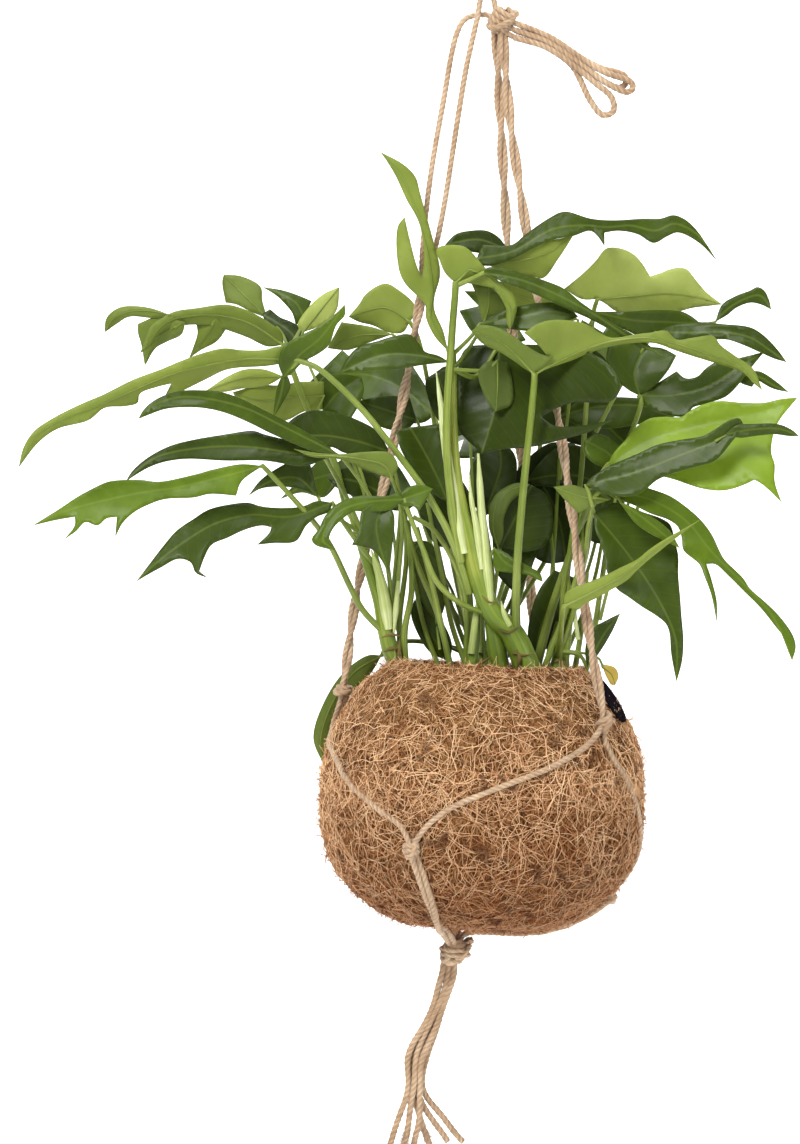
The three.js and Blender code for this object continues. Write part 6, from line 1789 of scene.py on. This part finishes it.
def grid_within(contour):
    """A staggered grid of points over a contour, none of them close to its line."""
    tree = kdtree.KDTree(len(contour))
    for i, (x, z) in enumerate(contour):
        tree.insert((x, z, 0), i)
    tree.balance()
    xs = [x for x, _ in contour]
    zs = [z for _, z in contour]
    inner = []
    row = 0
    z = min(zs)
    while z < max(zs):
        x = min(xs) + (BLADE_GRID / 2 if row % 2 else 0)
        while x < max(xs):
            if tree.find((x, z, 0))[2] > BLADE_GRID * CLEAR_SHARE:
                inner.append((x, z))
            x += BLADE_GRID
        z += BLADE_GRID * ROW_SHARE
        row += 1
    return inner


def half_sheet(contour):
    """The points of the half blade on one side of the rib, and its triangles all turned one way."""
    flat = [Vector(p) for p in contour + grid_within(contour)]
    loop = [(i, (i + 1) % len(contour)) for i in range(len(contour))]
    found, _, faces, _, _, _ = delaunay_2d_cdt(flat, loop, [list(range(len(contour)))], 1, 1e-4)
    triangles = []
    for face in faces:
        a, b, c = (found[i] for i in face)
        area = (b.x - a.x) * (c.y - a.y) - (b.y - a.y) * (c.x - a.x)
        if abs(area) >= 1e-6:
            triangles.append(face if area > 0 else face[::-1])
    return [(round(p.x, 3), round(p.y, 3)) for p in found], triangles


def sheet_of(shape):
    """A blade's rib line, and the points and triangles of its middle sheet."""
    rib = flat_curved(shape["rib"], RIB_STEP)
    numbers = {}
    triangles = []
    for side in (shape["above"], shape["below"]):
        edge = flat_curved([shape["rib"][0]] + side + [shape["rib"][-1]], EDGE_STEP)
        found, faces = half_sheet(rib + edge[-2:0:-1])
        for point in found:
            numbers.setdefault(point, len(numbers))
        triangles += [[numbers[found[i]] for i in face] for face in faces]
    used = sorted({i for triangle in triangles for i in triangle})
    renumber = {old: new for new, old in enumerate(used)}
    points = list(numbers)
    return rib, [points[i] for i in used], [[renumber[i] for i in face] for face in triangles]


def blade_depths(shape, points, triangles, feet, number):
    """How deep each point lies: the drawn slope made smooth, then folds, ripples and curl."""
    start, end = shape["depth"]
    slope_across, slope_up, bow = (tuple(shape["lean"]) + (0.0,))[:3]
    depths = []
    for distance, share, off_x, off_z, _, _ in feet:
        slope = slope_across * off_x
        depths.append(start + (end - start) * share + slope + slope_up * off_z + bow * distance ** 2)
    around = [set() for _ in points]
    for a, b, c in triangles:
        around[a].update((b, c))
        around[b].update((a, c))
        around[c].update((a, b))
    for _ in range(8):
        depths = [
            (own + sum(depths[k] for k in near) / len(near)) / 2 if near else own
            for own, near in zip(depths, around)
        ]
    toward = 1.0 if shape["look"][0] == "under" else -1.0
    result = []
    for (x, z), depth, foot in zip(points, depths, feet):
        distance, _, _, _, side, walked = foot
        fold = FOLD * distance * toward
        rise = min(1.0, distance / CALM_WIDTH)
        ripple = RIPPLE * rise * math.sin(walked * 0.82 - distance * 0.6 + side) * toward
        curl = CURL * rise * noise.noise(Vector((x / CURL_SIZE, z / CURL_SIZE, number * 7.3)))
        result.append(depth + fold + ripple + curl)
    return result


def corner_normals(places, triangles):
    """At each place, the direction square to the sheet, not yet of length one."""
    normals = [Vector() for _ in places]
    for a, b, c in triangles:
        normal = (places[b] - places[a]).cross(places[c] - places[a])
        for i in (a, b, c):
            normals[i] += normal
    return normals


def midrib(rib, points, depths, kind):
    """The rib's line laid on the side of the blade that shows."""
    depth_at = dict(zip(points, depths))
    behind = 0.75 if kind == "top" else -0.3
    line = []
    for x, z in rib:
        depth = depth_at.get((round(x, 3), round(z, 3)))
        if depth is not None:
            line.append(seen(x, z, depth + behind))
    return line


class Foliage:
    """The blades of one plant node gathered in one mesh."""

    # which of piece()'s finishes the front, the back and the rim of a blade wear
    sides = {"top": (0, 1, 1), "under": (1, 0, 1), "yellow": (2, 2, 2)}

    def __init__(self):
        self.places = []
        self.faces = []
        self.marks = []
        self.maps = []
        self.shades = []
        self.ribs = []

    def add(self, shape, number):
        """One more leaf: its faces, its places and its midrib."""
        rib, points, triangles = sheet_of(shape)
        feet = [foot_on(rib, x, z) for x, z in points]
        depths = blade_depths(shape, points, triangles, feet, number)
        places = [seen(x, z, d) for (x, z), d in zip(points, depths)]
        kind, tone = shape["look"]
        self.add_faces(triangles, len(places), *self.sides[kind])
        normals = corner_normals(places, triangles)
        half = BLADE_THICKNESS / 2 * MM
        for way in (half, -half):
            for place, normal, (distance, _, _, _, side, walked) in zip(places, normals, feet):
                self.places.append(place + normal.normalized() * way)
                self.maps.append((walked / LEAF_MAP_SPAN, 0.5 + side * distance / LEAF_MAP_SPAN))
                self.shades.append(tone)
        self.ribs.append(midrib(rib, points, depths, kind))

    def add_faces(self, triangles, count, front, back, rim):
        """The two sides of a blade and its thin rim, each with the number of its finish."""
        first = len(self.places)
        edges = set()
        for a, b, c in triangles:
            self.faces.append((first + a, first + b, first + c))
            self.faces.append((first + count + c, first + count + b, first + count + a))
            self.marks += [front, back]
            edges.update(((a, b), (b, c), (c, a)))
        for a, b in edges:
            if (b, a) not in edges:
                self.faces.append((first + a, first + count + a, first + count + b, first + b))
                self.marks.append(rim)

    def piece(self, name, node_name):
        mesh = mesh_of(name, self.places, self.faces, LEAF_TOP, LEAF_UNDER, LEAF_YELLOW)
        mesh.polygons.foreach_set("material_index", self.marks)
        # shade: each leaf's tone, partly its own green and partly painted shade and light
        mesh.attributes.new("shade", "FLOAT", "POINT").data.foreach_set("value", self.shades)
        layer = mesh.uv_layers.new(name="leaf_map")
        for loop in mesh.loops:
            layer.data[loop.index].uv = self.maps[loop.vertex_index]
        mesh.shade_smooth()
        taken_in(plain_object(name, mesh), node_name)


def stalk_line(shape, rib_line):
    """The line of a stalk and the midrib it runs on into, and how thick it is on the way."""
    width = shape["width"]
    carried = [seen(x, z, y) for x, z, y in shape["stem"]][::-1]
    stalk = carried[:1]
    if len(carried) > 2:
        stalk = even(curved(carried[:-1] + [rib_line[0]], 8), STALK_STEP * MM)
    sizes = [width * (1.08 - 0.28 * i / len(stalk)) for i in range(len(stalk))]
    ribs = rib_line[1:] if stalk else rib_line
    thick = min(width * 0.42, 1.2)
    count = max(1, len(ribs))
    sizes += [max(0.35, thick * (1 - i / count) ** 0.8) for i in range(len(ribs))]
    return stalk + ribs, sizes


def cane_line(points, widths):
    """A cane's line and how thick it is on the way."""
    line = even(curved([seen(across, up, deep) for across, up, deep in drawn(points)], 10), CANE_STEP * MM)
    sizes = []
    for i in range(len(line)):
        t = i / (len(line) - 1) * (len(widths) - 1)
        k = min(int(t), len(widths) - 2)
        share = (t - k) ** 2 * (3 - 2 * (t - k))
        sizes.append(widths[k] + (widths[k + 1] - widths[k]) * share)
    return line, sizes


def stem_line(points, width):
    """A thin stalk's line, thinner towards its end."""
    line = even(curved([seen(across, up, deep) for across, up, deep in drawn(points)], 10), STALK_STEP * MM)
    return line, [width * (1.1 - 0.35 * i / len(line)) for i in range(len(line))]


def stalks_piece(name, node_name, lines, finish, sides=10):
    source = line_source(name, [line for line, _ in lines], [sizes for _, sizes in lines])
    taken_in(grow(name, source, STALKS, Sides=sides, Finish=finish), node_name)


ROUND_PARTS = [("canes", CANES, CANE), ("sheaths", SHEATHS, SHEATH), ("scars", SCARS, SCAR)]
PLANTS = {"left": LEFT_LEAVES, "centre": CENTRE_LEAVES, "right": RIGHT_LEAVES, "back": BACK_LEAVES}
for place_name, shapes in PLANTS.items():
    node_name = place_name + "_stem_with_leaves"
    slot_name = "leaves_" + place_name
    foliage = Foliage()
    stalks = []
    for number, shape in enumerate(shapes):
        foliage.add(shape, number)
        line, sizes = stalk_line(shape, foliage.ribs[-1])
        if len(line) > 1:
            stalks.append((line, sizes))
    stalks += [stem_line(points, width) for points, width in STEMS[place_name]]
    foliage.piece(place_name + "_blades", node_name)
    stalks_piece(place_name + "_stalks", node_name, stalks, STALK)
    for word, parts, finish in ROUND_PARTS:
        lines = [cane_line(points, widths) for points, widths in parts[place_name]]
        if lines:
            stalks_piece(place_name + "_" + word, node_name, lines, finish, 16)

# The plant tag
TAG_HALF_LENGTH = 13.4
TAG_HALF_WIDTH = 9.6
TAG_POINT = 1.6
TAG_HOLE = 1.3
TAG_HOLE_PLACE = -10.2
TAG_HALF_THICKNESS = 0.35
TAG_BEVEL = 0.15


def tag_outlines():
    """An oval, pointed at one end, and the small hole at its other end."""
    edge = []
    for i in range(48):
        angle = 2 * math.pi * i / 48
        point = max(0.0, math.cos(angle)) ** 6 * TAG_POINT
        across = TAG_HALF_WIDTH * math.sin(angle) * (1 - 0.12 * math.cos(angle))
        edge.append(((TAG_HALF_LENGTH + point) * math.cos(angle), across))
    hole = []
    for i in range(16):
        angle = -i * math.pi / 8
        hole.append((TAG_HOLE_PLACE + TAG_HOLE * math.cos(angle), TAG_HOLE * math.sin(angle)))
    return edge, hole


def tag_mesh():
    """The outlines as a thin plate with soft edges."""
    data = bpy.data.curves.new("plant_tag_outline", "CURVE")
    data.dimensions = "2D"
    data.fill_mode = "BOTH"
    data.extrude = TAG_HALF_THICKNESS * MM
    data.bevel_depth = TAG_BEVEL * MM
    data.bevel_resolution = 2
    for outline in tag_outlines():
        spline = data.splines.new("POLY")
        spline.points.add(len(outline) - 1)
        for target, (x, y) in zip(spline.points, outline):
            target.co = (x * MM, y * MM, 0, 1)
        spline.use_cyclic_u = True
    source = plain_object("tag_outline", data)
    evaluated = source.evaluated_get(bpy.context.evaluated_depsgraph_get())
    mesh = bpy.data.meshes.new_from_object(evaluated)
    bpy.data.objects.remove(source)
    return mesh


def tag_piece():
    """The black tag, leaning on the ball behind the right leg."""
    mesh = tag_mesh()
    turn = Matrix.Rotation(math.radians(-20), 3, "Z") @ Matrix.Rotation(math.radians(59), 3, "Y")
    half_turn = Matrix.Rotation(math.radians(180), 4, "Z")
    mesh.transform(Matrix.Translation(on_ball(-20, 38.5, 1.0)) @ turn.to_4x4() @ half_turn)
    mesh.materials.clear()
    mesh.materials.append(TAG)
    mesh.shade_smooth()
    taken_in(plain_object("black_oval_tag", mesh), "plant_tag")


tag_piece()

# Floor, backdrop and light


def backdrop():
    """A pale floor that sweeps up into a wall far behind, its far part lit from within."""
    width, front, back, round_off, top = 9.0, -3.0, 5.2, 0.9, 9.0
    line = [(front, 0.0), (back, 0.0)]
    for step in range(1, 13):
        angle = step * math.pi / 24
        line.append((back + round_off * math.sin(angle), round_off * (1 - math.cos(angle))))
    line.append((back + round_off, top))
    places = []
    for y, z in line:
        places += [(-width, y, FLOOR_LEVEL + z), (width, y, FLOOR_LEVEL + z)]
    faces = [(2 * k, 2 * k + 1, 2 * k + 3, 2 * k + 2) for k in range(len(line) - 1)]
    mesh = mesh_of("pale_floor", places, faces)
    mesh.shade_smooth()
    white = (1.0, 1.0, 1.0, 1.0)
    material, tree = finish_of("pale_paper", 0.9, Base_Color=(0.93, 0.93, 0.93, 1.0), Emission_Color=white)
    glow = out(tree, "ShaderNodeSeparateXYZ", {0: object_place(tree)}, 1).line(0.6, 0.55, clamp=True)
    tree.links.new(glow.socket, tree.nodes["Principled BSDF"].inputs["Emission Strength"])
    mesh.materials.append(material)
    plain_object("pale_floor", mesh)


def soft_light(name, place, aim, size, watts):
    data = bpy.data.lights.new(name, "AREA")
    data.shape = "DISK"
    data.size = size
    data.energy = watts
    lamp = bpy.data.objects.new(name, data)
    lamp.location = place
    lamp.rotation_euler = (Vector(aim) - Vector(place)).to_track_quat("-Z", "Y").to_euler()
    bpy.context.collection.objects.link(lamp)


backdrop()
soft_light("key_light", (-1.1, -1.9, 1.3), (0, 0, -0.35), 1.1, 76)
soft_light("fill_light", (1.9, -1.8, 0.2), (0, 0, -0.35), 1.4, 23)
soft_light("top_light", (0.1, 0.0, 1.7), (0, 0, -0.3), 1.2, 30)
world = bpy.data.worlds.new("pale_room")
world.use_nodes = True
world.node_tree.nodes["Background"].inputs[0].default_value = (1, 1, 1, 1)
world.node_tree.nodes["Background"].inputs[1].default_value = 0.24
bpy.context.scene.world = world
bpy.context.scene.view_settings.view_transform = "Standard"
